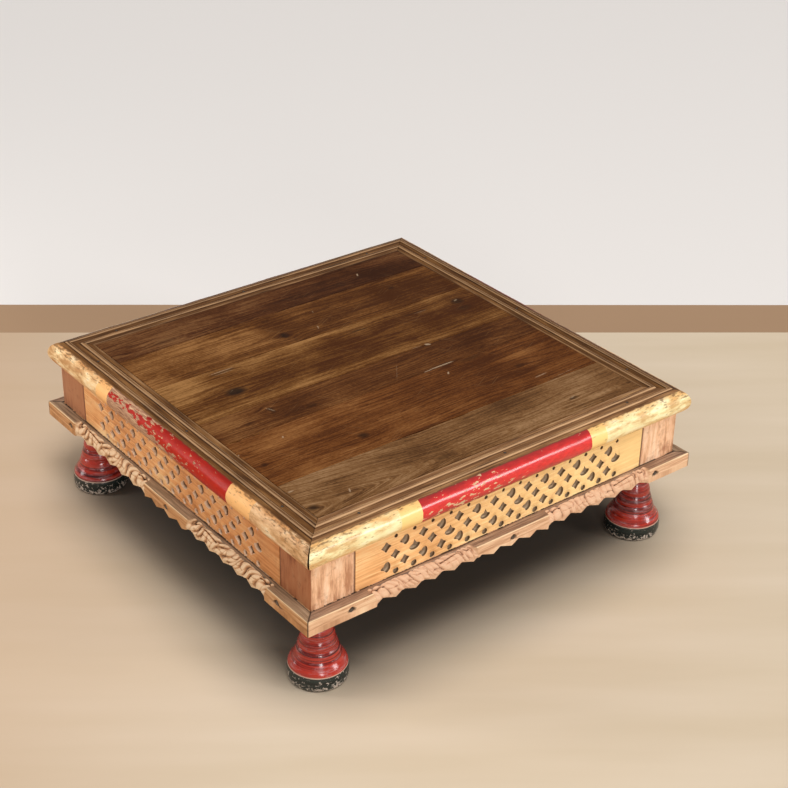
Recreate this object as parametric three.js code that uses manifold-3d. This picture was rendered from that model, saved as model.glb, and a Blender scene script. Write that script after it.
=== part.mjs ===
// Bajot, a low table on four turned feet
// Millimetres, +Z up, origin on the floor under the middle of the table, front towards -Y

import * as THREE from "three";
import { mergeVertices } from "three/addons/utils/BufferGeometryUtils.js";
import Module from "manifold-3d";

const wasm = await Module();
wasm.setup();

// Top frame: a rail with a half-round nose, two beads and a rebate for the boards
const topSpan = 610;             // over the noses of opposite rails
const railThickness = 36;
const railWidth = 48;            // tip of the nose to the edge of the boards
const rebateWidth = 12;
const beadWidth = 6.5;
const beadRise = 1.5;
const beadSpacing = 15;          // from one bead to the next
const mitreGap = 0.3;

// Boards of the top and the battens under them
const boardThickness = 18;
const boardGap = 0.4;
const boardWidthShares = [0.122, 0.174, 0.212, 0.114, 0.22, 0.158];   // from the back to the front
const battenWidth = 40;
const battenThickness = 16;
const battenSpacing = 240;       // from one batten to the other

// Posts and the pierced aprons between them
const postSize = 62;
const postHeight = 77;
const noseOverhang = 12.3;       // tip of the nose beyond the outer face of a post
const apronThickness = 20;
const apronRise = 3.5;           // foot of a post up to the lower edge of an apron
const tenonThickness = 10;
const tenonLength = 24;
const tenonShoulder = 12;        // height above and below a tenon

// Piercings, in five rows with every other row shifted by half a pitch
const jaliPitch = 27.4;          // from one hole to the next in a row
const jaliEndMargin = 33;        // plain wood beside a post
const jaliHoleWidth = 13.2;
const smallHoleRadius = 3.4;
const smallHoleSides = 6;

// Heights of the piercings, as shares of the height of an apron
const jaliMiddleShare = 0.378;   // top of the apron down to the middle row
const jaliRowPitchShare = 0.193;
const jaliHoleHeightShare = 0.196;
const smallHoleShare = 0.316;    // middle row to the rows of small holes

// Moulding nailed round the foot of the aprons
const skirtProjection = 16;
const skirtHeight = 21;
const skirtDrop = 1.5;           // lower edge below the foot of the posts
const toothPitch = 30;
const toothDepth = 7;
const toothRiseShare = 0.36;     // steep side of a tooth, of its pitch
const carvingLedge = 7;          // flat top left behind a carving
const carvingDrop = 10;          // ledge down to the lower edge of the carved slope

// Lengths of the moulding, from the corner where its carving starts to the other corner
const frontNearEnd = 98;
const frontFirstCarving = 156;
const frontPlainMiddle = 113;
const sideNearEnd = 88;
const sideFirstCarving = 174;
const sidePlainMiddle = 98;
const skirtFarEnd = 73;

// Turned feet
const footRadius = 38;
const footHeight = 106;
const spigotRadius = 12;
const spigotLength = 34;
const footSides = 18;

// Nails
const nailRadius = 1.5;
const nailSides = 8;
const railEndNailBite = 24;      // depth in the apron, near the posts
const railMiddleNailBite = 4.5;  // depth in the apron, above the piercings
const railNailInset = 17;        // end nails from the inner face of a post
const skirtNailBite = 14;        // depth in the post or the apron
const skirtNailHeadRadius = 3.1;
const skirtNailHeadThickness = 1.2;
const countersinkRadius = 4.6;
const countersinkDepth = 2.6;
const battenNailBite = 10;       // depth in a board

// Clearances
const fit = 0.3;                 // between pieces that are cut for each other
const overrun = 2;               // of a cutter past the face that it cuts

// Plan sizes, measured from the middle of the table
const noseTip = topSpan / 2;
const noseRadius = railThickness / 2;
const noseCentre = noseTip - noseRadius;
const panelHalf = noseTip - railWidth;
const lipHalf = panelHalf - rebateWidth;
const postOuter = noseTip - noseOverhang;
const postInner = postOuter - postSize;
const postCentre = postOuter - postSize / 2;
const skirtOuter = postOuter + skirtProjection;
const skirtInner = postOuter + fit;
const railNailLine = noseCentre - beadWidth - (beadSpacing - beadWidth) / 2;

// Heights above the floor
const postTop = footHeight + postHeight;
const rebateLevel = postTop + railThickness - boardThickness;
const apronBottom = footHeight + apronRise;
const apronHeight = postTop - apronBottom;
const skirtBottom = footHeight - skirtDrop;
const skirtTop = skirtBottom + skirtHeight;
const skirtNailLevel = apronBottom + tenonShoulder / 2;
const jaliMiddleDrop = apronHeight * jaliMiddleShare;
const jaliRowPitch = apronHeight * jaliRowPitchShare;
const jaliHoleHeight = apronHeight * jaliHoleHeightShare;
const smallHoleOffset = apronHeight * smallHoleShare;

// Colours
const boardWood = new THREE.MeshStandardMaterial({ color: "#6b4728", roughness: 0.5, metalness: 0 });
const railWood = new THREE.MeshStandardMaterial({ color: "#d9b27a", roughness: 0.45, metalness: 0 });
const jaliWood = new THREE.MeshStandardMaterial({ color: "#dba468", roughness: 0.6, metalness: 0 });
const postWood = new THREE.MeshStandardMaterial({ color: "#b98560", roughness: 0.65, metalness: 0 });
const skirtWood = new THREE.MeshStandardMaterial({ color: "#cf9d70", roughness: 0.65, metalness: 0 });
const hiddenWood = new THREE.MeshStandardMaterial({ color: "#a07a52", roughness: 0.75, metalness: 0 });
const footLacquer = new THREE.MeshStandardMaterial({ color: "#a52a20", roughness: 0.25, metalness: 0 });
const nailIron = new THREE.MeshStandardMaterial({ color: "#3a3632", roughness: 0.5, metalness: 0.8 });

function piece(name, geometry, material) {
  const mesh = new THREE.Mesh(geometry, material);
  mesh.name = name;
  return mesh;
}

// Solids that can be joined and cut
function toSolid(geometry) {
  const bare = geometry.clone();
  bare.deleteAttribute("normal");
  bare.deleteAttribute("uv");
  const merged = mergeVertices(bare);
  return new wasm.Manifold(new wasm.Mesh({
    numProp: 3,
    vertProperties: new Float32Array(merged.attributes.position.array),
    triVerts: new Uint32Array(merged.index.array),
  }));
}

function toGeometry(solid) {
  const mesh = solid.getMesh();
  const geometry = new THREE.BufferGeometry();
  geometry.setAttribute("position", new THREE.BufferAttribute(mesh.vertProperties, 3));
  geometry.setIndex(new THREE.BufferAttribute(mesh.triVerts, 1));
  geometry.computeVertexNormals();
  return geometry;
}

function cut(geometry, cutters) {
  const solids = cutters.map(toSolid);
  const result = solids.reduce((rest, cutter) => rest.subtract(cutter), toSolid(geometry));
  return toGeometry(result);
}

function join(geometries) {
  const solids = geometries.map(toSolid);
  return toGeometry(solids.reduce((whole, part) => whole.add(part)));
}

// A box between two corners
function box(low, high) {
  const size = high.clone().sub(low);
  const geometry = new THREE.BoxGeometry(size.x, size.y, size.z);
  const middle = low.clone().add(high).divideScalar(2);
  geometry.translate(middle.x, middle.y, middle.z);
  return geometry;
}

// An upright round bar or bore from one height to another
function uprightBar(radius, sides, x, y, from, to) {
  const geometry = new THREE.CylinderGeometry(radius, radius, to - from, sides);
  geometry.rotateX(Math.PI / 2);
  geometry.translate(x, y, (from + to) / 2);
  return geometry;
}

// A round bar or bore along Y
function levelBar(radius, sides, x, z, from, to) {
  const geometry = new THREE.CylinderGeometry(radius, radius, to - from, sides);
  geometry.translate(x, (from + to) / 2, z);
  return geometry;
}

// A closed body between two copies of one outline, seen counter-clockwise from the near end
function loft(outline, toNearEnd, toFarEnd) {
  const points = [...outline.map(toNearEnd), ...outline.map(toFarEnd)];
  const count = outline.length;
  const index = [];
  for (const [a, b, c] of THREE.ShapeUtils.triangulateShape(outline, [])) {
    index.push(a, b, c);
    index.push(count + c, count + b, count + a);
  }
  for (let i = 0; i < count; i += 1) {
    const j = (i + 1) % count;
    index.push(i, count + i, count + j);
    index.push(i, count + j, j);
  }
  const geometry = new THREE.BufferGeometry();
  const coordinates = points.flatMap((point) => point.toArray());
  geometry.setAttribute("position", new THREE.Float32BufferAttribute(coordinates, 3));
  geometry.setIndex(index);
  geometry.computeVertexNormals();
  return geometry;
}

// Points of an ellipse from one angle to another
function arc(centreX, centreY, radiusX, radiusY, startAngle, endAngle, steps) {
  const points = [];
  for (let step = 0; step <= steps; step += 1) {
    const angle = startAngle + ((endAngle - startAngle) * step) / steps;
    points.push(new THREE.Vector2(
      centreX + radiusX * Math.cos(angle),
      centreY + radiusY * Math.sin(angle),
    ));
  }
  return points;
}

// Section of a frame rail, with its outer side to the left
function railSection() {
  const beadSteps = 4;
  const noseSteps = 10;
  const bead = (outerEdge) => arc(
    -(outerEdge - beadWidth / 2), railThickness, beadWidth / 2, beadRise, 0, Math.PI, beadSteps,
  );
  return [
    new THREE.Vector2(-lipHalf, 0),
    new THREE.Vector2(-lipHalf, railThickness - boardThickness),
    new THREE.Vector2(-panelHalf, railThickness - boardThickness),
    new THREE.Vector2(-panelHalf, railThickness),
    ...bead(noseCentre - beadSpacing),
    ...bead(noseCentre).slice(0, -1),
    ...arc(-noseCentre, noseRadius, noseRadius, noseRadius, Math.PI / 2, (3 * Math.PI) / 2, noseSteps),
  ];
}

// Places and depths of the nails that hold a rail down on its apron
function railNails() {
  const endPlace = postInner - railNailInset;
  const middlePlace = jaliColumn(2 * Math.round((jaliColumnCount - 1) / 4));
  return [
    { x: -endPlace, bite: railEndNailBite },
    { x: middlePlace, bite: railMiddleNailBite },
    { x: endPlace, bite: railEndNailBite },
  ];
}

// Bores of the rail nails, open above the rail and blind in the apron
function railNailBores() {
  return railNails().map(({ x, bite }) => uprightBar(
    nailRadius + fit, nailSides, x, -railNailLine, postTop - bite - fit, postTop + railThickness + overrun,
  ));
}

function rail() {
  const endInset = mitreGap / Math.SQRT2;
  const bar = loft(
    railSection(),
    (point) => new THREE.Vector3(-point.x - endInset, point.x, postTop + point.y),
    (point) => new THREE.Vector3(point.x + endInset, point.x, postTop + point.y),
  );
  return cut(bar, railNailBores());
}

// Boards laid edge to edge from the back of the rebate to its front
function boards() {
  const half = panelHalf - fit;
  const field = 2 * half;
  const placed = [];
  let backEdge = half;
  for (const widthShare of boardWidthShares) {
    const frontEdge = backEdge - field * widthShare;
    placed.push({ back: backEdge - boardGap / 2, front: frontEdge + boardGap / 2 });
    backEdge = frontEdge;
  }
  return placed;
}

// Battens and the places of their nails, one into each board that no long edge of the rebate holds
const battens = [
  { name: "left", x: -battenSpacing / 2 },
  { name: "right", x: battenSpacing / 2 },
];

function battenNailPlaces(x) {
  return boards().slice(1, -1).map(({ back, front }) => ({ x, y: (back + front) / 2 }));
}

function battenNailBores() {
  const from = rebateLevel - battenThickness - overrun;
  const to = rebateLevel + battenNailBite + fit;
  const places = battens.flatMap(({ x }) => battenNailPlaces(x));
  return places.map(({ x, y }) => uprightBar(nailRadius + fit, nailSides, x, y, from, to));
}

function board({ back, front }) {
  const half = panelHalf - fit;
  const plank = box(
    new THREE.Vector3(-half, front, rebateLevel),
    new THREE.Vector3(half, back, rebateLevel + boardThickness),
  );
  return cut(plank, battenNailBores());
}

function batten(x) {
  const half = lipHalf - fit;
  const bar = box(
    new THREE.Vector3(x - battenWidth / 2, -half, rebateLevel - battenThickness),
    new THREE.Vector3(x + battenWidth / 2, half, rebateLevel),
  );
  return cut(bar, battenNailBores());
}

// Places of the piercings
const jaliFieldLength = 2 * (postInner - jaliEndMargin) - jaliHoleWidth;
const jaliColumnCount = 2 * Math.floor((jaliFieldLength / jaliPitch) + 1 / 2);

function jaliColumn(index) {
  return ((index - (jaliColumnCount - 1) / 2) * jaliPitch) / 2;
}

// Outlines of the holes, as shares of half their width and half their height
const diamondShares = [
  [1, 0], [0.42, 0.46], [0, 1], [-0.46, 0.42], [-1, 0], [-0.42, -0.46], [0, -1], [0.46, -0.42],
];
const leafShares = [
  [1, 0], [0.72, 0.7], [0.05, 1], [-0.3, 0.36], [-1, 0.05], [-0.34, -0.3], [0, -1], [0.72, -0.72],
];
const raisedLeafShares = leafShares.map(([across, up]) => [up, -across]);
const roundShares = arc(0, 0, 1, 1, 0, 2 * Math.PI, smallHoleSides)
  .slice(0, -1)
  .map((point) => point.toArray());

function hole(shares, width, height, x, z) {
  return new THREE.Path(shares.map(([across, up]) => new THREE.Vector2(
    x + (across * width) / 2,
    z + (up * height) / 2,
  )));
}

// Rows of holes from the top down, each with its drop, its first column and its two outlines
function jaliRows() {
  const large = { width: jaliHoleWidth, height: jaliHoleHeight };
  const small = { width: 2 * smallHoleRadius, height: 2 * smallHoleRadius };
  const roundHoles = [roundShares, roundShares];
  return [
    { drop: jaliMiddleDrop - smallHoleOffset, first: 1, outlines: roundHoles, ...small },
    { drop: jaliMiddleDrop - jaliRowPitch, first: 0, outlines: [diamondShares, leafShares], ...large },
    { drop: jaliMiddleDrop, first: 1, outlines: [diamondShares, raisedLeafShares], ...large },
    { drop: jaliMiddleDrop + jaliRowPitch, first: 0, outlines: [leafShares, diamondShares], ...large },
    { drop: jaliMiddleDrop + smallHoleOffset, first: 1, outlines: roundHoles, ...small },
  ];
}

function jaliHoles() {
  const holes = [];
  for (const { drop, first, outlines, width, height } of jaliRows()) {
    for (let column = first; column < jaliColumnCount; column += 2) {
      const shares = outlines[((column - first) / 2) % 2];
      holes.push(hole(shares, width, height, jaliColumn(column), postTop - drop));
    }
  }
  return holes;
}

// Sizes of a tenon, and of its mortise when grown by the fit
function tenonBounds(grow) {
  const middle = postOuter - apronThickness / 2;
  return {
    near: middle + tenonThickness / 2 + grow,
    far: middle - tenonThickness / 2 - grow,
    low: apronBottom + tenonShoulder - grow,
    high: postTop - tenonShoulder + grow,
    tip: postInner + tenonLength + grow,
  };
}

function tenon(side) {
  const { near, far, low, high, tip } = tenonBounds(0);
  const root = postInner - overrun;
  return box(
    new THREE.Vector3(Math.min(side * root, side * tip), -near, low),
    new THREE.Vector3(Math.max(side * root, side * tip), -far, high),
  );
}

// Level bores of the skirt nails, at the corner posts and at the middle of the apron
const skirtNailPlaces = [-(postInner + postSize / 4), 0, postInner + postSize / 4];

function skirtNailBores() {
  const tip = -(postOuter - skirtNailBite - fit);
  return skirtNailPlaces.map((x) => levelBar(
    nailRadius + fit, nailSides, x, skirtNailLevel, -(skirtOuter + overrun), tip,
  ));
}

function apron() {
  const half = postInner - fit;
  const outline = new THREE.Shape([
    new THREE.Vector2(-half, apronBottom),
    new THREE.Vector2(half, apronBottom),
    new THREE.Vector2(half, postTop),
    new THREE.Vector2(-half, postTop),
  ]);
  outline.holes = jaliHoles();
  const panel = new THREE.ExtrudeGeometry(outline, { depth: apronThickness, bevelEnabled: false });
  panel.rotateX(Math.PI / 2);
  panel.translate(0, apronThickness - postOuter, 0);
  const withTenons = join([panel, tenon(-1), tenon(1)]);
  return cut(withTenons, [...railNailBores(), ...skirtNailBores()]);
}

// The post at the left end of its side, with a mortise for each of the two aprons that meet there
function post() {
  const block = box(
    new THREE.Vector3(-postOuter, -postOuter, footHeight),
    new THREE.Vector3(-postInner, -postInner, postTop),
  );
  const { near, far, low, high, tip } = tenonBounds(fit);
  const mouth = postInner - overrun;
  const alongX = box(new THREE.Vector3(-tip, -near, low), new THREE.Vector3(-mouth, -far, high));
  const alongY = box(new THREE.Vector3(-near, -tip, low), new THREE.Vector3(-far, -mouth, high));
  const bore = uprightBar(
    spigotRadius + fit, footSides, -postCentre, -postCentre,
    footHeight - overrun, footHeight + spigotLength + fit,
  );
  const nailBores = skirtNailBores();
  const turnedBores = skirtNailBores().map((geometry) => geometry.rotateZ(-Math.PI / 2));
  return cut(block, [alongX, alongY, bore, ...nailBores, ...turnedBores]);
}

// Face of a skirt: plain ends and a row of leaning teeth between them
function skirtOutline({ nearEnd }, lean) {
  const start = nearEnd - skirtOuter;
  const end = skirtOuter - skirtFarEnd;
  const toothCount = Math.max(1, Math.round((end - start) / toothPitch));
  const pitch = (end - start) / toothCount;
  const points = [new THREE.Vector2(-skirtOuter, skirtBottom), new THREE.Vector2(start, skirtBottom)];
  for (let tooth = 0; tooth < toothCount; tooth += 1) {
    const root = start + tooth * pitch;
    points.push(new THREE.Vector2(root + pitch * toothRiseShare, skirtBottom + toothDepth));
    points.push(new THREE.Vector2(root + pitch, skirtBottom));
  }
  points.push(new THREE.Vector2(skirtOuter, skirtBottom));
  points.push(new THREE.Vector2(skirtOuter, skirtTop));
  points.push(new THREE.Vector2(-skirtOuter, skirtTop));
  return lean > 0 ? points : points.map(({ x, y }) => new THREE.Vector2(-x, y)).reverse();
}

// Carved stretches of a skirt, as places along its side
function carvedStretches({ nearEnd, firstCarving, plainMiddle }, lean) {
  const first = nearEnd - skirtOuter;
  const second = first + firstCarving + plainMiddle;
  const stretches = [
    { from: first, to: first + firstCarving },
    { from: second, to: skirtOuter - skirtFarEnd },
  ];
  return lean > 0 ? stretches : stretches.map(({ from, to }) => ({ from: -to, to: -from }));
}

// Slanting cut that takes the upper edge off a carved stretch
function slantCutter({ from, to }) {
  const backEdge = -(postOuter + carvingLedge);
  const lowEdge = skirtTop - carvingDrop;
  const clear = -(skirtOuter + overrun);
  const outline = [
    new THREE.Vector2(backEdge, skirtTop),
    new THREE.Vector2(backEdge, skirtTop + overrun),
    new THREE.Vector2(clear, skirtTop + overrun),
    new THREE.Vector2(clear, lowEdge),
    new THREE.Vector2(-skirtOuter, lowEdge),
  ];
  return loft(
    outline,
    (point) => new THREE.Vector3(to, point.x, point.y),
    (point) => new THREE.Vector3(from, point.x, point.y),
  );
}

function skirt(lengths, lean) {
  const endInset = mitreGap / Math.SQRT2;
  const endPoint = (point, half) => (Math.abs(point.x) === skirtOuter
    ? Math.sign(point.x) * (half - endInset)
    : point.x);
  const strip = loft(
    skirtOutline(lengths, lean),
    (point) => new THREE.Vector3(endPoint(point, skirtOuter), -skirtOuter, point.y),
    (point) => new THREE.Vector3(endPoint(point, skirtInner), -skirtInner, point.y),
  );
  const slants = carvedStretches(lengths, lean).map(slantCutter);
  const countersinks = skirtNailPlaces.map((x) => levelBar(
    countersinkRadius, nailSides, x, skirtNailLevel,
    -(skirtOuter + overrun), -(skirtOuter - countersinkDepth),
  ));
  return cut(strip, [...slants, ...skirtNailBores(), ...countersinks]);
}

// Profile of a foot as shares of its radius and height, from the floor up
const footProfileShares = [
  [0.9, 0], [0.965, 0.02], [1, 0.075], [1, 0.142], [0.985, 0.189], [0.95, 0.231], [0.86, 0.283],
  [0.776, 0.33], [0.735, 0.368], [0.697, 0.415], [0.645, 0.45], [0.645, 0.47], [0.603, 0.519],
  [0.562, 0.561], [0.537, 0.58], [0.55, 0.604], [0.521, 0.642], [0.474, 0.689], [0.408, 0.745],
  [0.384, 0.788], [0.39, 0.835], [0.46, 0.877], [0.592, 0.915], [0.632, 0.943], [0.616, 0.976],
  [0.592, 1],
];

function foot() {
  const turned = footProfileShares.map(([across, up]) => new THREE.Vector2(
    across * footRadius,
    up * footHeight,
  ));
  const profile = [
    new THREE.Vector2(0, 0),
    ...turned,
    new THREE.Vector2(spigotRadius, footHeight),
    new THREE.Vector2(spigotRadius, footHeight + spigotLength),
    new THREE.Vector2(0, footHeight + spigotLength),
  ];
  const geometry = new THREE.LatheGeometry(profile, footSides);
  geometry.rotateX(Math.PI / 2);
  return geometry;
}

// One skirt nail, lying along Y with its head at the bottom of the countersink
function skirtNail(x) {
  const headFace = skirtOuter - countersinkDepth + fit + skirtNailHeadThickness;
  const tip = postOuter - skirtNailBite;
  const profile = [
    new THREE.Vector2(0, -headFace),
    new THREE.Vector2(skirtNailHeadRadius, -headFace),
    new THREE.Vector2(skirtNailHeadRadius, skirtNailHeadThickness - headFace),
    new THREE.Vector2(nailRadius, skirtNailHeadThickness - headFace),
    new THREE.Vector2(nailRadius, -tip),
    new THREE.Vector2(0, -tip),
  ];
  const geometry = new THREE.LatheGeometry(profile, nailSides);
  geometry.translate(x, 0, skirtNailLevel);
  return geometry;
}

function railNail({ x, bite }) {
  return uprightBar(nailRadius, nailSides, x, -railNailLine, postTop - bite, postTop + railThickness);
}

function battenNail({ x, y }) {
  const from = rebateLevel - battenThickness;
  return uprightBar(nailRadius, nailSides, x, y, from, rebateLevel + battenNailBite);
}

// The whole table: four alike sides round the boards
const table = new THREE.Group();

const frontLengths = {
  nearEnd: frontNearEnd,
  firstCarving: frontFirstCarving,
  plainMiddle: frontPlainMiddle,
};
const sideLengths = {
  nearEnd: sideNearEnd,
  firstCarving: sideFirstCarving,
  plainMiddle: sidePlainMiddle,
};

const sides = [
  { name: "front", corner: "front_left", lengths: frontLengths, lean: 1 },
  { name: "right", corner: "front_right", lengths: sideLengths, lean: -1 },
  { name: "back", corner: "back_right", lengths: frontLengths, lean: 1 },
  { name: "left", corner: "back_left", lengths: sideLengths, lean: -1 },
];

sides.forEach(({ name, corner, lengths, lean }, quarter) => {
  const side = new THREE.Group();
  side.rotation.z = (quarter * Math.PI) / 2;
  side.add(piece(`top_rail_${name}`, rail(), railWood));
  side.add(piece(`apron_${name}`, apron(), jaliWood));
  side.add(piece(`skirt_${name}`, skirt(lengths, lean), skirtWood));
  side.add(piece(`post_${corner}`, post(), postWood));
  const turnedFoot = piece(`foot_${corner}`, foot(), footLacquer);
  turnedFoot.position.set(-postCentre, -postCentre, 0);
  side.add(turnedFoot);
  railNails().forEach((nail, index) => {
    side.add(piece(`frame_nail_${name}_${index + 1}`, railNail(nail), nailIron));
  });
  skirtNailPlaces.forEach((x, index) => {
    side.add(piece(`skirt_nail_${name}_${index + 1}`, skirtNail(x), nailIron));
  });
  table.add(side);
});

boards().forEach((place, index) => {
  table.add(piece(`top_board_${index + 1}`, board(place), boardWood));
});

battens.forEach(({ name, x }) => {
  table.add(piece(`batten_${name}`, batten(x), hiddenWood));
  battenNailPlaces(x).forEach((place, index) => {
    table.add(piece(`batten_nail_${name}_${index + 1}`, battenNail(place), nailIron));
  });
});

export default table;
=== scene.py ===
# %% [markdown]
# A bajot is a low square table that people sit at on the floor. This one is old teak: wide boards
# lie in a moulded frame whose round nose is painted, pierced boards join four posts, a carved
# moulding is nailed round their feet, and four turned, lacquered feet carry it all. The
# construction is already solved: it comes in as a fixed frame, and nothing in it is moved here.

# %% Load the frame
import math
import random
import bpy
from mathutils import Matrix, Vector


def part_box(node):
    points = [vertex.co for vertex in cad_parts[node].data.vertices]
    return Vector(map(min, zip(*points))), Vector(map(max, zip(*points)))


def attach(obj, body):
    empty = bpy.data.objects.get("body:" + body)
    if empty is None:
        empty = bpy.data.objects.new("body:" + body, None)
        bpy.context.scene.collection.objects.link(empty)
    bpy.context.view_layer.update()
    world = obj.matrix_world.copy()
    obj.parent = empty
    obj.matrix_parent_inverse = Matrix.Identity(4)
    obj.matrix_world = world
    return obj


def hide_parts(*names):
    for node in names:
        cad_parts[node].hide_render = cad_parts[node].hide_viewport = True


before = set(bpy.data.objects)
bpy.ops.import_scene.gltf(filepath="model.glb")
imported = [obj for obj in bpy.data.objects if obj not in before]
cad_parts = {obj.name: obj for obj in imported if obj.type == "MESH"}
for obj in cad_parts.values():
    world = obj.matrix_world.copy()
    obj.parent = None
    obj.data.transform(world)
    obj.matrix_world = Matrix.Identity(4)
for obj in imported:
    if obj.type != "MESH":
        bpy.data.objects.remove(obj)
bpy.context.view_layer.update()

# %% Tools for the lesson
from types import SimpleNamespace

import bmesh
import bpy
import numpy as np
from mathutils import Matrix, Vector, noise
from mathutils.geometry import delaunay_2d_cdt

MM = 0.001

# %% [markdown]
# Every size that a neighbour also uses is read from the frame, so that a dressed piece seats on
# the same faces as the solid that it stands for. Distances are from the middle of the table
# outwards.

# %% Sizes from the frame
rail_low, rail_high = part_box("top_rail_front")
post_low, post_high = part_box("post_front_left")
apron_low, apron_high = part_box("apron_front")
skirt_low, skirt_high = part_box("skirt_front")
board_low, board_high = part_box("top_board_3")
foot_low, foot_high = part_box("foot_front_left")
nail_low, nail_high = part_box("skirt_nail_front_1")
pin_low, pin_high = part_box("frame_nail_front_1")

nose_tip = -rail_low.y
rail_lip = -rail_high.y
rail_foot = rail_low.z
top_level = board_high.z
rebate_level = board_low.z
carcass_face = -post_low.y
post_inner = -post_high.x
skirt_face = -skirt_low.y
skirt_back = -skirt_high.y
boards_half = board_high.x
nail_place = -(nail_low.x + nail_high.x) / 2
nail_level = (nail_low.z + nail_high.z) / 2
print("nose", round(nose_tip, 4), "carcass", round(carcass_face, 4), "top", round(top_level, 4))

# %% [markdown]
# The camera stands where the photograph was taken from: those angles, that distance and that lens
# come from fitting the table's corners. The sensor is 36 mm wide and the picture is square.

# %% Camera
CAMERA_AZIMUTH = math.radians(-38.43)
CAMERA_ELEVATION = math.radians(29.74)
CAMERA_ROLL = math.radians(1.21)
CAMERA_PLACE = Vector((-1.1604, -1.5291, 1.2726))
CAMERA_LENS_MM = 75.71
SENSOR_MM = 36.0

back = Vector((
    math.sin(CAMERA_AZIMUTH) * math.cos(CAMERA_ELEVATION),
    -math.cos(CAMERA_AZIMUTH) * math.cos(CAMERA_ELEVATION),
    math.sin(CAMERA_ELEVATION),
))
level_right = Vector((math.cos(CAMERA_AZIMUTH), math.sin(CAMERA_AZIMUTH), 0))
level_up = back.cross(level_right)
right = level_right * math.cos(CAMERA_ROLL) + level_up * math.sin(CAMERA_ROLL)
up = level_up * math.cos(CAMERA_ROLL) - level_right * math.sin(CAMERA_ROLL)

camera_data = bpy.data.cameras.new("camera")
camera_data.lens = CAMERA_LENS_MM
camera_data.sensor_width = SENSOR_MM
camera = bpy.data.objects.new("camera", camera_data)
bpy.context.collection.objects.link(camera)
turn = Matrix((right, up, back)).transposed().to_4x4()
camera.matrix_world = Matrix.Translation(CAMERA_PLACE) @ turn
bpy.context.scene.camera = camera
bpy.context.scene.view_settings.view_transform = "Standard"
print("camera at", [round(value, 3) for value in CAMERA_PLACE])

# %% [markdown]
# Colours are written as the eye names them, in sRGB hex, and one function turns them to the
# linear values that Blender mixes. A pattern is given by its real size, and a second function
# turns that to repeats per metre. A third links a node's sockets or sets their values, from a
# list in the node's own order or a dictionary by name or number. A fourth adds a shader node and
# gives back one of its outputs. The names of all shader nodes start with ShaderNode, so that word
# is left out.


# %% Colour and node helpers
def linear(hex_colour):
    channels = [int(hex_colour[i:i + 2], 16) / 255 for i in (1, 3, 5)]
    return [c / 12.92 if c <= 0.04045 else ((c + 0.055) / 1.055) ** 2.4 for c in channels] + [1]


def repeats(*sizes_mm):
    """How often a pattern of each size comes in a metre, as one number or as a list."""
    scale = [1 / (size * MM) for size in sizes_mm]
    return scale if len(scale) > 1 else scale[0]


def connect(tree, node, inputs):
    for name, value in inputs.items() if isinstance(inputs, dict) else enumerate(inputs):
        if isinstance(value, bpy.types.NodeSocket):
            tree.links.new(value, node.inputs[name])
        else:
            node.inputs[name].default_value = value


def add(tree, kind, inputs=(), output=0, stops=(), steps="LINEAR", **settings):
    made = tree.nodes.new("ShaderNode" + kind)
    for name, value in settings.items():
        setattr(made, name, value)
    stops = list(stops)
    if stops:
        ramp = made.color_ramp
        ramp.interpolation = steps
        while len(ramp.elements) < len(stops):
            ramp.elements.new(1)
        for element, (place, shade) in zip(ramp.elements, stops):
            element.position = place
            element.color = linear(shade) if isinstance(shade, str) else (shade, shade, shade, 1)
    connect(tree, made, inputs)
    return made.outputs[output]


def new_material(name):
    material = bpy.data.materials.new(name)
    material.use_nodes = True
    tree = material.node_tree
    return material, tree, tree.nodes["Principled BSDF"]


COLOUR = {"data_type": "RGBA", "output": 2}
EVEN_TONES = (0.3, 0.5, 0.7)
print("white is", linear("#ffffff"), "and a 5 mm pattern repeats", round(repeats(5)), "times")

# %% [markdown]
# A dressed piece is finished the same way each time: its mesh is shaded smooth with crisp edges
# kept sharp, it rides on the table's one body and stands for its CAD node.
# Pieces of a side are made for the front and then turned to theirs. A rail or a moulding starts
# as a grid that is wrapped round its section, so its seam is merged and its two ends are closed
# first.

# %% Finishing a piece
CRISP_ANGLE = math.radians(28)
MERGE_GAP = 0.01 * MM
QUARTERS = {"front": 0, "right": 1, "back": 2, "left": 3}


def turn_to(bm, side):
    """Turns a piece that was made at the front to its own side."""
    bm.transform(Matrix.Rotation(QUARTERS[side] * math.pi / 2, 4, "Z"))


def close_strip(bm, side):
    bmesh.ops.remove_doubles(bm, verts=bm.verts, dist=MERGE_GAP)
    bmesh.ops.holes_fill(bm, edges=bm.edges, sides=0)
    bmesh.ops.recalc_face_normals(bm, faces=bm.faces)
    turn_to(bm, side)


def finish_piece(name, bm, material, slot, *stands_for, crisp=CRISP_ANGLE):
    mesh = bpy.data.meshes.new(name)
    bm.to_mesh(mesh)
    bm.free()
    mesh.shade_smooth()
    mesh.set_sharp_from_angle(angle=crisp)
    mesh.materials.append(material)
    piece = bpy.data.objects.new(name, mesh)
    bpy.context.collection.objects.link(piece)
    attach(piece, "root")
    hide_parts(*stands_for)
    return len(mesh.polygons)


# %% [markdown]
# Old polished teak has three things at once: broad bands where growth was fast or slow, fine
# darker lines a few millimetres apart that run the length of the board, and short open pores. All
# three are noise stretched along the grain, and the long ones wander slowly, as growth rings do
# when a board is sawn slantwise. The mesh keeps the grain's own coordinates, along and across in
# metres, so that lines can part round a knot and meet in a pointed figure, and how deep in a knot
# a point is. A second attribute keeps how light the wood is there, its pale chips and where
# growth rings show. What lies over the plain figure is a layer: a cover from 0 to 1, and the
# colour that it brings.


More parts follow.
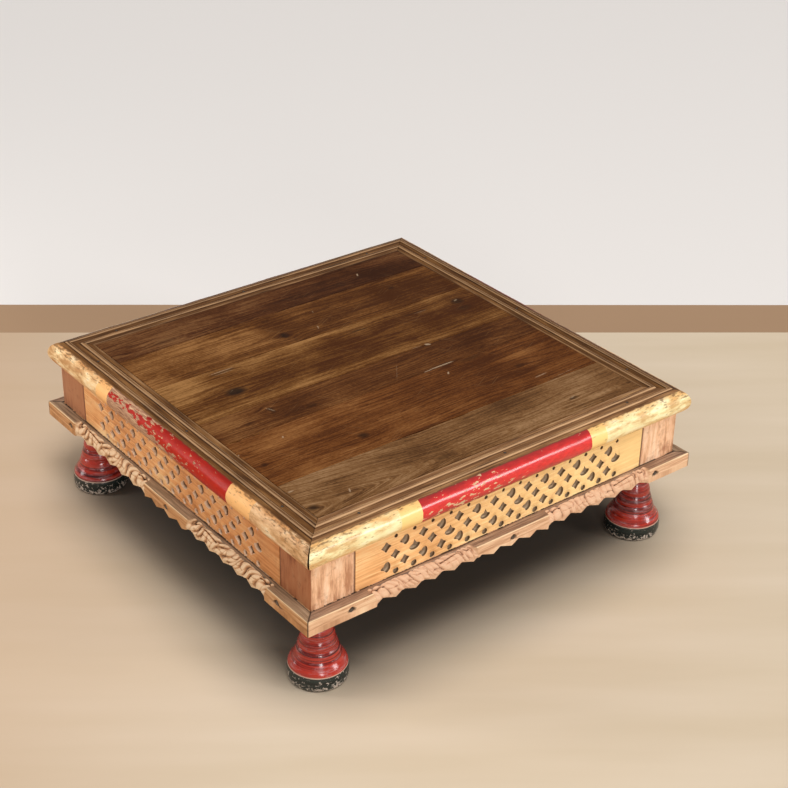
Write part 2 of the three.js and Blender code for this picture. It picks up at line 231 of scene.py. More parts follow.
# %% Polished board wood
# Bands, lines, pores, mottle and slow flow: length and width in millimetres, and detail
BOARD_FIGURES = ((170, 13, 4), (75, 2.0, 5), (9, 0.9, 1), (5, 1.5, 5), (260, 38, 1))
CLOUD_MM = 111.1
CRUMB_MM = 2.381
RING_MM = 5.2
RING_DRIFT = 24 * MM
GROWTH_MM = 7.5
GROWTH_DRIFT = 46 * MM
FIGURE_LEVEL = -0.83
SCRATCH_MM = (60, 1.1)
SCRATCH_TURNS = (0.9, -0.5)


def board_material(name, dark, middle, light, knot_colour, seed):
    material, tree, shader = new_material(name)
    grain = add(tree, "Attribute", output="Vector", attribute_name="grain")
    wear = add(tree, "Attribute", output="Vector", attribute_name="wear")
    place = add(tree, "TexCoord", output="Object")
    _, across, knot = add(tree, "SeparateXYZ", [grain]).node.outputs
    tone, pale, rings = add(tree, "SeparateXYZ", [wear]).node.outputs

    figures = []
    for long_mm, cross_mm, detail in BOARD_FIGURES:
        scale = repeats(long_mm, cross_mm) + [0]
        grown = add(tree, "VectorMath", [grain, scale], operation="MULTIPLY")
        moved = add(tree, "VectorMath", [grown, (seed, seed, seed)])
        figures.append(add(tree, "TexNoise", {"Vector": moved, "Scale": 1, "Detail": detail,
                                              "Roughness": 0.62}))
    bands, lines, pores, mottle, flow = figures
    clouds = add(tree, "TexNoise", {"Vector": place, "Scale": repeats(CLOUD_MM), "Detail": 4,
                                    "Roughness": 0.6})

    # Growth rings that show round knots, and darker late wood in each year's growth
    drift = add(tree, "Math", [bands, RING_DRIFT, across], operation="MULTIPLY_ADD")
    wave = add(tree, "Math", [drift, 2 * math.pi * repeats(RING_MM)], operation="MULTIPLY")
    wave = add(tree, "Math", [wave], operation="SINE")
    wave = add(tree, "Math", [wave, rings], operation="MULTIPLY")
    wave = add(tree, "Math", [wave, clouds], operation="MULTIPLY")
    growth = add(tree, "Math", [flow, GROWTH_DRIFT, drift], operation="MULTIPLY_ADD")
    growth = add(tree, "Math", [growth, 2 * math.pi * repeats(GROWTH_MM)], operation="MULTIPLY")
    growth = add(tree, "Math", [growth], operation="SINE")
    growth = add(tree, "MapRange", [growth, 0.45, 1, 0, -1])
    growth = add(tree, "Math", [growth, bands], operation="MULTIPLY")
    rightward = add(tree, "SeparateXYZ", [place])
    darker = add(tree, "MapRange", [rightward, -0.25, 0.05, 0.02, -0.1])

    figure = FIGURE_LEVEL
    for part, share in ((bands, 0.6), (lines, 0.7), (mottle, 0.62), (clouds, 0.8), (tone, 0.3),
                        (wave, 0.2), (growth, 0.3), (darker, 1.0)):
        figure = add(tree, "Math", [part, share, figure], operation="MULTIPLY_ADD")
    wood = add(tree, "ValToRGB", [figure], stops=[(0.26, dark), (0.5, middle), (0.8, light)])

    layers = [(add(tree, "MapRange", [pores, 0.60, 0.74, 0, 0.55]), dark)]
    for angle in SCRATCH_TURNS:
        turned = add(tree, "VectorRotate", {"Vector": place, "Angle": angle})
        drawn = add(tree, "VectorMath", [turned, repeats(*SCRATCH_MM) + [0]], operation="MULTIPLY")
        hair = add(tree, "TexNoise", {"Vector": drawn, "Scale": 1, "Detail": 0})
        layers.append((add(tree, "MapRange", [hair, 0.76, 0.82, 0, 0.22]), "#9c7850"))
    ragged = add(tree, "Math", [mottle, 1.2, 0.4], operation="MULTIPLY_ADD")
    held = add(tree, "Math", [knot, ragged], operation="MULTIPLY")
    held = add(tree, "MapRange", [held, 0.14, 0.95, 0, 0.86])
    crumbs = add(tree, "TexNoise", {"Vector": place, "Scale": repeats(CRUMB_MM), "Detail": 3})
    crumbs = add(tree, "Math", [crumbs, 0.5, pale], operation="MULTIPLY_ADD")
    chips = add(tree, "MapRange", [crumbs, 0.6, 1.05, 0, 0.75])
    for cover, colour in layers + [(held, knot_colour), (chips, "#b59a7c")]:
        wood = add(tree, "Mix", {0: cover, 6: wood, 7: linear(colour)}, **COLOUR)

    gloss = add(tree, "MapRange", [clouds, 0.3, 0.7, 0.55, 0.4])
    relief = add(tree, "Math", [pores, -0.6, lines], operation="MULTIPLY_ADD")
    bump = add(tree, "Bump", {"Height": relief, "Strength": 0.3, "Distance": 0.4 * MM})
    connect(tree, shader, {"Base Color": wood, "Roughness": gloss, "Specular IOR Level": 0.06,
                           "Normal": bump})
    return material


# %% [markdown]
# The boards were sawn from old timber, so each has its own figure. A knot is listed by its place
# and half sizes: the grain parts round it and closes again, with rings that show. Patches lighten
# or darken a stretch, as sun, spilled oil and hands did, and the whole top grows darker to the
# right. Marks are small pale chips in the polish and dark stains, and gaps are places where a
# board's back edge has broken away. All are in millimetres.

# %% What each board shows
# colours: dark, middle, light, knot; knots: x, y, half length, half width, depth of colour;
# patches: x, y, half length, half width, lightening; gaps: from x, to x, depth
BOARDS = {
    1: {
        "colours": ("#351a0a", "#532e15", "#7c5431", "#150c07"),
        "knots": [(-178, 211, 26, 8, 0.4), (-222, 224, 10, 6, 0.35), (-250, 208, 8, 6, 0.3)],
        "patches": [(-160, 225, 110, 26, 0.35), (60, 215, 40, 20, -0.3), (200, 215, 70, 30, -0.3),
                    (150, 245, 90, 10, 0.3), (0, 240, 60, 14, 0.25)],
        "gaps": [],
    },
    2: {
        "colours": ("#44230c", "#683f1b", "#9a6b3d", "#22140c"),
        "knots": [(-36, 130, 7, 9, 0.9), (172, 162, 6, 5, 0.6), (-34, 180, 8, 5, 0.4)],
        "patches": [(-165, 158, 105, 34, 0.55), (225, 184, 40, 8, 0.6), (60, 130, 90, 20, -0.15),
                    (-35, 150, 30, 38, -0.55), (190, 140, 70, 22, -0.35), (200, 110, 90, 6, -0.3)],
        "gaps": [],
    },
    3: {
        "colours": ("#45230c", "#68401b", "#9a6d3e", "#1e150e"),
        "knots": [(-174, 40, 15, 10, 1.0), (222, 74, 11, 9, 0.8), (218, 52, 14, 8, 0.5)],
        "patches": [(0, 100, 320, 8, 0.75), (-215, 75, 60, 30, 0.5), (-170, 40, 62, 19, -0.55),
                    (225, 62, 34, 24, -0.55), (70, 45, 170, 26, -0.2), (30, 6, 300, 7, 0.55),
                    (225, 16, 40, 14, 0.35)],
        "gaps": [],
    },
    4: {
        "colours": ("#3e1f0b", "#5e3617", "#875b32", "#140c07"),
        "knots": [(-164, -26, 4, 9, 0.7), (-115, -46, 9, 4, 0.5), (-205, -38, 10, 5, 0.4)],
        "patches": [(-225, -20, 34, 24, 0.3), (-140, -42, 62, 18, -0.3), (185, -20, 60, 26, -0.2)],
        "gaps": [],
    },
    5: {
        "colours": ("#46230c", "#683b18", "#905f33", "#170e08"),
        "knots": [(-107, -143, 8, 7, 0.8), (-243, -128, 5, 5, 0.6), (168, -122, 9, 5, 0.55),
                  (128, -68, 24, 6, 0.6)],
        "patches": [(-180, -80, 90, 14, 0.4), (130, -80, 60, 18, -0.35), (185, -98, 40, 8, 0.5),
                    (0, -130, 200, 18, -0.1), (210, -155, 60, 8, 0.35), (-60, -160, 150, 8, 0.15)],
        "gaps": [(-250, -231, 2.8), (-218, -207, 1.8), (-30, -10, 0.5)],
    },
    6: {
        "colours": ("#4d3019", "#744f2d", "#9a7550", "#181009"),
        "knots": [(-249, -237, 8, 6, 0.8), (167, -227, 7, 4, 0.6), (-62, -240, 12, 5, 0.45)],
        "patches": [(150, -215, 190, 44, 0.4), (60, -240, 150, 20, 0.15),
                    (120, -200, 110, 12, -0.2), (-150, -200, 90, 12, -0.1)],
        "gaps": [(-62, 34, 1.9)],
    },
}
# Marks: x, y, half length, half width, turn in degrees, and strength, above zero for a pale chip
# and below for a dark stain
BOARD_MARKS = [
    (158, 225, 5, 1.5, 60, 0.9), (15, 124, 6, 1.2, 70, 0.8), (36, 166, 4, 1.2, 70, 0.7),
    (-160, 95.6, 23, 1.3, 0, 0.8), (-160, 90.4, 21, 1.2, 0, 0.7), (-160, 93, 22, 1.1, 0, -0.9),
    (106, -4, 5, 3, -30, 0.9), (88, -2, 12, 1.2, 0, 0.6), (84, -61, 24, 1.6, 0, 0.85),
    (60, -62, 8, 1.4, 0, 0.7), (78, -82, 4, 1.6, 50, 0.9), (173, -158, 14, 1.8, 4, 0.7),
    (205, -171, 30, 1.3, 5, 0.55), (180, -177, 14, 1.2, -6, 0.5), (-194, -232, 5, 1.3, 65, 0.9),
    (-189, -88, 3.4, 1.5, 60, 0.8), (-257, -92, 2.4, 2.0, 0, 0.8), (-251, -194, 5, 2.0, 0, 0.75),
    (25, -40, 27, 0.9, 53, 0.6), (-164, -24, 10, 1.6, -65, 0.7), (160, 78, 16, 1.4, 2, 0.6),
    (222, 77, 5, 2.2, 20, 0.7), (-178, 44, 5, 2.0, 30, 0.45), (167, -225, 6, 1.5, 15, 0.7),
    (171, -231, 5, 1.1, 10, 0.6), (180, 248, 5, 2, 30, 0.4), (-208, 148, 9, 0.9, 55, 0.35),
    (55, 84, 14, 1.8, -6, -0.9), (150, 80, 22, 1.4, 0, -0.7), (-20, -173.5, 14, 1.6, 0, -0.6),
    (60, -60, 40, 1.4, 0, -0.5), (130, -68, 12, 2.4, 20, -0.5), (190, -174, 24, 1.2, 5, -0.6),
    (10, 166, 12, 1.2, 4, -0.4), (-30, 112, 8, 3.0, 70, -0.4), (-48, 20, 40, 1.0, 2, -0.3),
]
STRAY_CHIPS = 70
STRAY_REACH = 255
print("knots:", sum(len(shown["knots"]) for shown in BOARDS.values()), "marks:", len(BOARD_MARKS))

# %% [markdown]
# Each board is a fine grid, gently wavy as planed wood is, drawn down to its thickness, with its
# top edges eased. What it shows is worked out for all its points at once. On the front board the
# grain runs to a pointed figure, as it does where a board was sawn through the side of the trunk.

# %% The figure of a board
KNOT_REACH = (8, 5)
KNOT_PUSH = 0.8
POINTED_TIP = (-53, -240)
POINTED_SLOPE = 0.16
POINTED_HALF = 24
POINTED_ROUND = 3
POINTED_START = (30, 1.2)  # rings show over 30 mm, from a little before the tip
POINTED_FAINT = 0.15

chance = random.Random(4)
stray_marks = [
    (chance.uniform(-STRAY_REACH, STRAY_REACH), chance.uniform(-STRAY_REACH, STRAY_REACH),
     chance.uniform(1, 3.5), chance.uniform(0.8, 1.2), chance.uniform(-90, 90),
     chance.uniform(0.15, 0.5))
    for _ in range(STRAY_CHIPS)
]


def board_figure(x, y, shown, pointed):
    """Across, knot, tone, chips and rings of points given in millimetres."""
    across = y.copy()
    knot, tone, chips, rings = (np.zeros_like(x) for _ in range(4))
    for knot_x, knot_y, length, width, depth in shown["knots"]:
        dx, dy = (x - knot_x) / length, (y - knot_y) / width
        near = np.exp(-(dx * dx) / KNOT_REACH[0] - (dy * dy) / KNOT_REACH[1])
        across -= KNOT_PUSH * width * near * np.tanh(dy)
        knot = np.maximum(knot, depth * np.exp(-(dx * dx + dy * dy) ** 1.5))
        rings = np.maximum(rings, near)
    if pointed:
        tip_x, tip_y = POINTED_TIP
        spread = np.maximum(0, tip_x - x) * POINTED_SLOPE
        begun = np.clip((tip_x - x) / POINTED_START[0] + POINTED_START[1], 0, 1)
        beside = np.exp(-((y - tip_y) / POINTED_HALF) ** 2)
        rings = np.maximum(rings, begun * (POINTED_FAINT + (1 - POINTED_FAINT) * beside))
        across = tip_y + np.hypot(across - tip_y, POINTED_ROUND) - spread
    for patch_x, patch_y, length, width, lighter in shown["patches"]:
        dx, dy = (x - patch_x) / length, (y - patch_y) / width
        tone += lighter * np.exp(-(dx * dx + dy * dy) ** 1.2)
    for mark_x, mark_y, length, width, degrees, strength in BOARD_MARKS + stray_marks:
        turned = math.radians(degrees)
        dx, dy = x - mark_x, y - mark_y
        down_it = (dx * math.cos(turned) + dy * math.sin(turned)) / length
        over_it = (dy * math.cos(turned) - dx * math.sin(turned)) / width
        touched = np.exp(-(down_it ** 4 + over_it ** 2))
        if strength > 0:
            chips = np.maximum(chips, strength * touched)
        else:
            knot = np.maximum(knot, -strength * touched)
    return across, knot, tone, chips, rings


print("stray chips:", len(stray_marks), "of", len(BOARD_MARKS + stray_marks), "marks")

# %% The six boards
GRAIN_STEP = 1.7 * MM
EDGE_EASE = 0.6 * MM
WAVE_HEIGHT = 0.12 * MM
WAVE_LENGTH = 0.07
RIM_ANGLE = math.radians(60)


def make_board(number):
    shown = BOARDS[number]
    low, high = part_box(f"top_board_{number}")
    bm = bmesh.new()
    columns = round((high.x - low.x) / GRAIN_STEP)
    rows = round((high.y - low.y) / GRAIN_STEP)
    bmesh.ops.create_grid(bm, x_segments=columns, y_segments=rows, size=1)
    for vert in bm.verts:
        x = low.x + (high.x - low.x) * (vert.co.x + 1) / 2
        y = low.y + (high.y - low.y) * (vert.co.y + 1) / 2
        wave = noise.noise(Vector((x, y * 2, number)) / WAVE_LENGTH) * WAVE_HEIGHT
        if vert.co.y > 1 - 1 / rows:
            for start, end, deep in shown["gaps"]:
                if start <= x / MM <= end:
                    share = (x / MM - start) / (end - start)
                    y -= deep * MM * math.sin(math.pi * share) ** 0.5
        vert.co = (x, y, high.z - WAVE_HEIGHT / 2 + wave / 2)
    walls = bmesh.ops.extrude_face_region(bm, geom=bm.faces[:])
    for element in walls["geom"]:
        if isinstance(element, bmesh.types.BMVert):
            element.co.z = low.z
    bmesh.ops.recalc_face_normals(bm, faces=bm.faces)
    rim = [edge for edge in bm.edges if edge.calc_face_angle(0) > RIM_ANGLE
           and min(vert.co.z for vert in edge.verts) > (low.z + high.z) / 2]
    bmesh.ops.bevel(bm, geom=rim, offset=EDGE_EASE, segments=2, profile=0.5, affect="EDGES",
                    material=-1)
    grain = bm.verts.layers.float_vector.new("grain")
    wear = bm.verts.layers.float_vector.new("wear")
    points = np.array([vert.co for vert in bm.verts]) / MM
    shows = board_figure(points[:, 0], points[:, 1], shown, pointed=number == len(BOARDS))
    for vert, across, knot, tone, chips, rings in zip(bm.verts, *shows):
        vert[grain] = (vert.co.x, across * MM, knot)
        vert[wear] = (tone, chips, rings)
    material = board_material(f"teak_board_{number}", *shown["colours"], float(number * 7))
    return finish_piece(f"board_{number}", bm, material, "board_wood", f"top_board_{number}")


print("board faces:", [make_board(number) for number in BOARDS])

# %% [markdown]
# The frame rail's section is one closed line: the rebate for the boards, flat strips, two raised
# beads with a fine quirk on either side, and the half-round nose with a small fillet under it. A
# grid is wrapped round that line and run from mitre to mitre. Each point also keeps how far it is
# along the rail, how far round the section, and how much it is rubbed, a value that also paints a
# highlight on the beads and shade in the quirks.

# %% Section of the frame rail
NOSE_RADIUS = (top_level - rail_foot) / 2
NOSE_CENTRE = nose_tip - NOSE_RADIUS
BEAD_WIDTH = 6.5 * MM
BEAD_SPACING = 15 * MM
BEAD_RISE = rail_high.z - top_level
QUIRK = 0.9 * MM
NAIL_SHOWS = 0.08 * MM
NOSE_START = math.radians(20)
NOSE_END = math.radians(157)
FILLET = 2.4 * MM
BEAD_STEPS = 8
# Rubbing across a bead, which also paints a highlight where the bead faces the light
BEAD_RUB_AND_HIGHLIGHT = (0.2, 0.9, 0.5, 0.3, 0.6, 1.0, 0.3)
NOSE_STEPS = 30


def bead_points(outer_edge, beside):
    """A quirk, the bead and a quirk, from the inner edge outwards, each point with its rubbing."""
    centre = outer_edge - BEAD_WIDTH / 2
    half = BEAD_WIDTH / 2
    points = [(centre - half - QUIRK, beside, 0.0), (centre - half, top_level - QUIRK, -1)]
    for step in range(1, BEAD_STEPS):
        angle = math.pi * (1 - step / BEAD_STEPS)
        level = top_level - QUIRK / 2 + math.sin(angle) * (BEAD_RISE + QUIRK / 2)
        points.append((centre + math.cos(angle) * half, level, BEAD_RUB_AND_HIGHLIGHT[step - 1]))
    points += [(centre + half, top_level - QUIRK, -1), (centre + half + QUIRK, beside, 0.3)]
    return points


def rail_section():
    boards_edge = boards_half + 0.3 * MM
    points = [(rail_lip, rail_foot, 0), (rail_lip, rebate_level, 0), (boards_edge, rebate_level, 0),
              (boards_edge, top_level - QUIRK, 0), (boards_edge + QUIRK, top_level, 0.5)]
    points += bead_points(NOSE_CENTRE - BEAD_SPACING, top_level - NAIL_SHOWS)
    points += bead_points(NOSE_CENTRE, top_level - NAIL_SHOWS)
    for step in range(NOSE_STEPS + 1):
        angle = NOSE_START + (NOSE_END - NOSE_START) * step / NOSE_STEPS
        points.append((NOSE_CENTRE + NOSE_RADIUS * math.sin(angle),
                       top_level - NOSE_RADIUS + NOSE_RADIUS * math.cos(angle), 0))
    points += [(carcass_face - QUIRK / 2, rail_foot + FILLET, 0),
               (carcass_face + QUIRK, rail_foot + FILLET - QUIRK / 2, 0.5),
               (carcass_face + QUIRK, rail_foot, 0), (rail_lip, rail_foot, 0)]
    return points


section = rail_section()
section_path = [0]
for (u0, z0, _), (u1, z1, _) in zip(section, section[1:]):
    section_path.append(section_path[-1] + math.hypot(u1 - u0, z1 - z0))
# The last 4 points are the fillet and the foot, and the inner bead ends after the rebate's 5 points
nose_start = len(section) - 4 - (NOSE_STEPS + 1)
between_beads = 5 + BEAD_STEPS + 2
paint_start, paint_end = section_path[nose_start], section_path[-4]
pin_out = (-pin_low.y - pin_high.y) / 2
pin_path = section_path[between_beads] + pin_out - section[between_beads][0]
print("section points:", len(section), "painted from", round(paint_start / MM, 1), "mm of",
      round(paint_end / MM, 1))

# %% [markdown]
# A rail is polished above and painted on its nose. All its patterns are noise, drawn along the
# rail and round its section, so that they follow the wood round the nose. They are made once and
# shared, because polish, paint and dirt all wear with the same wood.


# %% Patterns on a rail
# Length along the rail and round its section in millimetres, and detail
RAIL_PATTERNS = {
    "streaks": (83.33, 4.1667, 4), "fibres": (16.67, 1.1111, 2), "wobble": (8.333, 8.333, 3),
    "shade": (29.41, 11.11, 6), "specks": (9.091, 3.0303, 5), "flakes": (11.11, 4.762, 4),
    "losses": (111.1, 33.33, 2),
}


def rail_patterns(tree, seed):
    """Where a point of the rail is, and the value of each pattern there."""
    place = add(tree, "Attribute", output="Vector", attribute_name="place")
    along, path, worn = add(tree, "SeparateXYZ", [place]).node.outputs
    on = SimpleNamespace(along=along, path=path, worn=worn)
    on.flat = add(tree, "CombineXYZ", [along, path, seed])
    for pattern, (long_mm, round_mm, detail) in RAIL_PATTERNS.items():
        scale = repeats(long_mm, round_mm) + [1]
        drawn = add(tree, "VectorMath", [on.flat, scale], operation="MULTIPLY")
        value = add(tree, "TexNoise", {"Vector": drawn, "Scale": 1, "Detail": detail,
                                       "Roughness": 0.6})
        setattr(on, pattern, value)
    return on


# %% [markdown]
# Above the paint a rail has the same dark polish as the boards, rubbed bright on its beads with a
# painted highlight that is strongest on the front rail, with wax, dust and painted shade in the
# quirks, and a dark spot round each nail.

# %% Polish above the paint
NAIL_SPOT = (1.6 * MM, 2.4 * MM)
pin_middle = (-pin_low.x - pin_high.x) / 2
second_low, second_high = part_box("frame_nail_front_2")
pin_centre = (second_low.x + second_high.x) / 2


def polished_rail(tree, on, tones, rub_and_highlight_share, seed):
    polished = add(tree, "ValToRGB", [on.streaks], stops=zip(EVEN_TONES, tones))
    # Rubbed beads are lightened, partly as a painted highlight
    rubbed_and_highlit = add(tree, "Math", [on.streaks, 0.8, on.worn], operation="MULTIPLY_ADD")
    rubbed_and_highlit = add(tree, "MapRange", [rubbed_and_highlit, 0.7, 1.35, 0, rub_and_highlight_share])
    # Dark in the quirks: wax and dust, and painted shade in the recess
    quirk_dirt_and_shade = add(tree, "MapRange", [on.worn, -0.2, -0.8, 0, 0.85])
    grime = add(tree, "MapRange", [on.specks, 0.62, 0.68, 0, 0.5])
    layers = [(rubbed_and_highlit, "#cfa67c"), (quirk_dirt_and_shade, "#1c110a"), (grime, "#2c1b10")]
    for nail_along in (-pin_middle, pin_centre, pin_middle):
        spot = add(tree, "VectorMath", [on.flat, (nail_along, pin_path, seed)], output="Value",
                   operation="DISTANCE")
        layers.append((add(tree, "MapRange", [spot, *NAIL_SPOT, 0.85, 0]), "#1b110b"))
    for cover, colour in layers:
        polished = add(tree, "Mix", {0: cover, 6: polished, 7: linear(colour)}, **COLOUR)
    return polished


print("pins:", round(pin_centre / MM), "and", round(pin_middle / MM), "mm from a side's middle")

# %% [markdown]
# The nose is painted in bands that follow the rail: cream at the corners, a short ochre band, and
# red in the middle. The paint is thin and old: the cream has blotches, pale and brown, and more of
# them at the corners, the red has deeper flakes, and dirt lies near the top. Both edges of the
# round nose are browned and darker, partly as painted shade, so that its middle reads lighter.

# %% Bands of paint and their age
REACH = nose_tip
PAINT_MIDDLE = 18 * MM


def paint_bands(tree, on, colours, bands):
    """The bands, which stray a little, and masks of the red ones and of the creamy ones."""
    strayed = add(tree, "Math", [on.wobble, 2.2 * MM, on.along], operation="MULTIPLY_ADD")
    share = add(tree, "MapRange", [strayed, -REACH, REACH, 0, 1])
    starts = [(start * MM + REACH) / (2 * REACH) for start, _ in bands]
    shades = ([colours[kind] for _, kind in bands],
              [float(kind == "red") for _, kind in bands],
              [float(kind in ("cream", "pale")) for _, kind in bands])
    return [add(tree, "ValToRGB", [share], stops=zip(starts, row), steps="CONSTANT")
            for row in shades]


def paint_age(tree, on, colours, dirt, red, creamy):
    """Layers over the bands, each a cover and a colour."""
    from_centre = add(tree, "Math", [on.along], operation="ABSOLUTE")
    at_corner = add(tree, "MapRange", [from_centre, 190 * MM, 300 * MM, 0, 0.07])
    aged = add(tree, "Math", [on.shade, at_corner], operation="ADD")
    aged = add(tree, "MapRange", [aged, 0.48, 0.66, 0, 0.85])
    aged = add(tree, "Math", [aged, creamy], operation="MULTIPLY")
    pale = add(tree, "MapRange", [on.shade, 0.46, 0.34, 0, 0.6])
    pale = add(tree, "Math", [pale, creamy], operation="MULTIPLY")
    deep = add(tree, "MapRange", [on.flakes, 0.3, 0.6, 0.5, 0])
    deep = add(tree, "Math", [deep, red], operation="MULTIPLY")
    # Upper and lower edges of the round nose: browned, and darkened as painted shade
    from_middle = add(tree, "Math", [on.path, paint_start + PAINT_MIDDLE], operation="SUBTRACT")
    from_middle = add(tree, "Math", [from_middle], operation="ABSOLUTE")
    browned_and_shaded_edge = add(tree, "Math", [on.shade, 20 * MM, from_middle], operation="MULTIPLY_ADD")
    browned_and_shaded_edge = add(tree, "MapRange", [browned_and_shaded_edge, 16 * MM, 27 * MM, 0, 0.7])
    edge_brown_and_shade = add(tree, "Mix", {0: red, 6: linear(colours["edge_brown_and_shade"]), 7: linear("#7c0f0c")}, **COLOUR)
    near_top = add(tree, "MapRange", [on.path, paint_start, paint_start + 15 * MM, 1, 0.15])
    not_red = add(tree, "Math", [1.0, red], operation="SUBTRACT")
    dirty = add(tree, "Math", [near_top, dirt, on.specks], operation="MULTIPLY_ADD")
    dirty = add(tree, "Math", [dirty, at_corner], operation="ADD")
    dirty = add(tree, "MapRange", [dirty, 0.64, 0.76, 0, 0.8])
    dirty = add(tree, "Math", [dirty, not_red], operation="MULTIPLY")
    return [(pale, linear("#fdf3cf")), (aged, linear(colours["aged"])), (deep, linear("#8e120e")),
            (browned_and_shaded_edge, edge_brown_and_shade), (dirty, linear("#7c5a38"))]


# %% [markdown]
# The red has flaked to small bare spots, and toward the back of the left rail it has peeled in
# strips on either side of a line that held. The paint starts on top at a dark, uneven line and
# ends under the nose. It is glossy and the bare wood is not, so a clear coat on the material
# follows the paint.

# %% Painted rail wood
PEEL_LINE = 10 * MM


def paint_losses(tree, on, peeled, red):
    """How far the red has gone."""
    peel_start, peel_full = peeled
    from_line = add(tree, "Math", [on.path, paint_start + PEEL_LINE], operation="SUBTRACT")
    from_line = add(tree, "Math", [from_line], operation="ABSOLUTE")
    from_line = add(tree, "MapRange", [from_line, 2 * MM, 13 * MM, 0.06, 0.42])
    gone = add(tree, "MapRange", [on.along, peel_start * MM, peel_full * MM, 0, 1])
    peel = add(tree, "Math", [from_line, 0.1], operation="ADD")
    peel = add(tree, "Math", [peel, gone], operation="MULTIPLY")
    peel = add(tree, "Math", [on.losses, 0.45, peel], operation="MULTIPLY_ADD")
    peel = add(tree, "Math", [on.flakes, peel], operation="ADD")
    peel = add(tree, "MapRange", [peel, 0.88, 0.91, 0, 1])
    return add(tree, "Math", [peel, red], operation="MULTIPLY")


def rail_material(name, colours, bands, peeled, dirt, tones, rub_and_highlight_share, seed):
    """Bands are pairs of a place along the rail, in millimetres, and the name of a colour."""
    material, tree, shader = new_material(name)
    on = rail_patterns(tree, seed)
    polished = polished_rail(tree, on, tones, rub_and_highlight_share, seed)
    coat, red, creamy = paint_bands(tree, on, colours, bands)
    peel = paint_losses(tree, on, peeled, red)
    bare = add(tree, "ValToRGB", [on.fibres],
               stops=zip(EVEN_TONES, ("#6e3f2a", colours["bare"], "#dcb48a")))
    edge = add(tree, "Math", [on.wobble, 3.4 * MM, on.path], operation="MULTIPLY_ADD")
    seam = add(tree, "MapRange", [edge, paint_start + 1.6 * MM, paint_start + 3.2 * MM, 0.8, 0])
    layers = paint_age(tree, on, colours, dirt, red, creamy)
    for cover, colour in layers + [(peel, bare), (seam, linear("#5a3a22"))]:
        coat = add(tree, "Mix", {0: cover, 6: coat, 7: colour}, **COLOUR)
    begun = add(tree, "MapRange", [edge, paint_start + 0.9 * MM, paint_start + 1.5 * MM, 0, 1])
    under = add(tree, "MapRange", [on.path, paint_end, paint_end + 1 * MM, 1, 0])
    painted = add(tree, "Math", [begun, under], operation="MULTIPLY")
    surface = add(tree, "Mix", {0: painted, 6: polished, 7: coat}, **COLOUR)

    gloss = add(tree, "MapRange", [red, 0, 1, 0.55, 1])
    gloss = add(tree, "Math", [gloss, painted], operation="MULTIPLY")
    gloss = add(tree, "Math", [gloss, colours["gloss"]], operation="MULTIPLY")
    gloss = add(tree, "Math", [peel, -0.8, gloss], operation="MULTIPLY_ADD", use_clamp=True)
    relief = add(tree, "Math", [peel, -0.6, on.streaks], operation="MULTIPLY_ADD")
    bump = add(tree, "Bump", {"Height": relief, "Strength": 0.4, "Distance": 0.4 * MM})
    connect(tree, shader, {"Base Color": surface, "Coat Weight": gloss, "Coat Roughness": 0.22,
                           "Roughness": 0.5, "Specular IOR Level": 0.12, "Normal": bump})
    return material


# %% The paint of each rail
FRONT_PAINT = {"cream": "#f4e5ae", "ochre": "#f5d084", "red": "#dc2724", "aged": "#c99c62",
               "bare": "#dab890", "edge_brown_and_shade": "#e6ab66", "gloss": 1.0}
SIDE_PAINT = {"cream": "#efca94", "ochre": "#fabf7a", "red": "#b92006", "pale": "#e8bc8a",
              "aged": "#b07c48", "bare": "#b08466", "edge_brown_and_shade": "#d08f56", "gloss": 0.12}
FRONT_BANDS = [(-305, "cream"), (-173, "ochre"), (-141, "red"), (128, "ochre"), (153, "cream")]
# A side rail is turned, so the left one has its first band at the back corner
SIDE_BANDS = [(-305, "cream"), (-173, "ochre"), (-143, "red"), (137, "ochre"), (186, "pale")]
# Paint, its bands, where peeling starts and is full, dirt, tones of the polish, rubbing and seed.
# The front rail's polish tones are lighter and its rubbing stronger, as painted light.
RAIL_PAINTS = {
    "front": (FRONT_PAINT, FRONT_BANDS, (60, -700), 0.14, ("#4b2f1a", "#845b39", "#b08659"), 0.9,
              3.0),
    "right": (SIDE_PAINT, SIDE_BANDS, (60, -150), 0.16, ("#341d0c", "#5e3b1a", "#8a5f33"), 0.65,
              11.0),
    "back": (FRONT_PAINT, FRONT_BANDS, (60, -700), 0.14, ("#321d0e", "#5d3b1e", "#855d36"), 0.6,
             23.0),
    "left": (SIDE_PAINT, SIDE_BANDS, (35, -75), 0.2, ("#38200e", "#66411f", "#92673c"), 0.6,
             37.0),
}
print("rails painted in", sorted({kind for _, kind in FRONT_BANDS + SIDE_BANDS}))

# %% [markdown]
# The mitres were cut by hand, so the nose stays open a couple of millimetres at the front corner,
# where the wood shrank. Small dents keep a highlight on the nose from being a ruled line.

# %% The four rails
RAIL_STEPS = 220
MITRE_GAP = 0.3 * MM
OPEN_MITRE = 1.5 * MM
OPEN_MITRE_START = 292 * MM
OPEN_ENDS = {"front": -1, "left": 1}
DENT_HEIGHT = 0.3 * MM
DENTS_ALONG, DENTS_ROUND = 30, 90


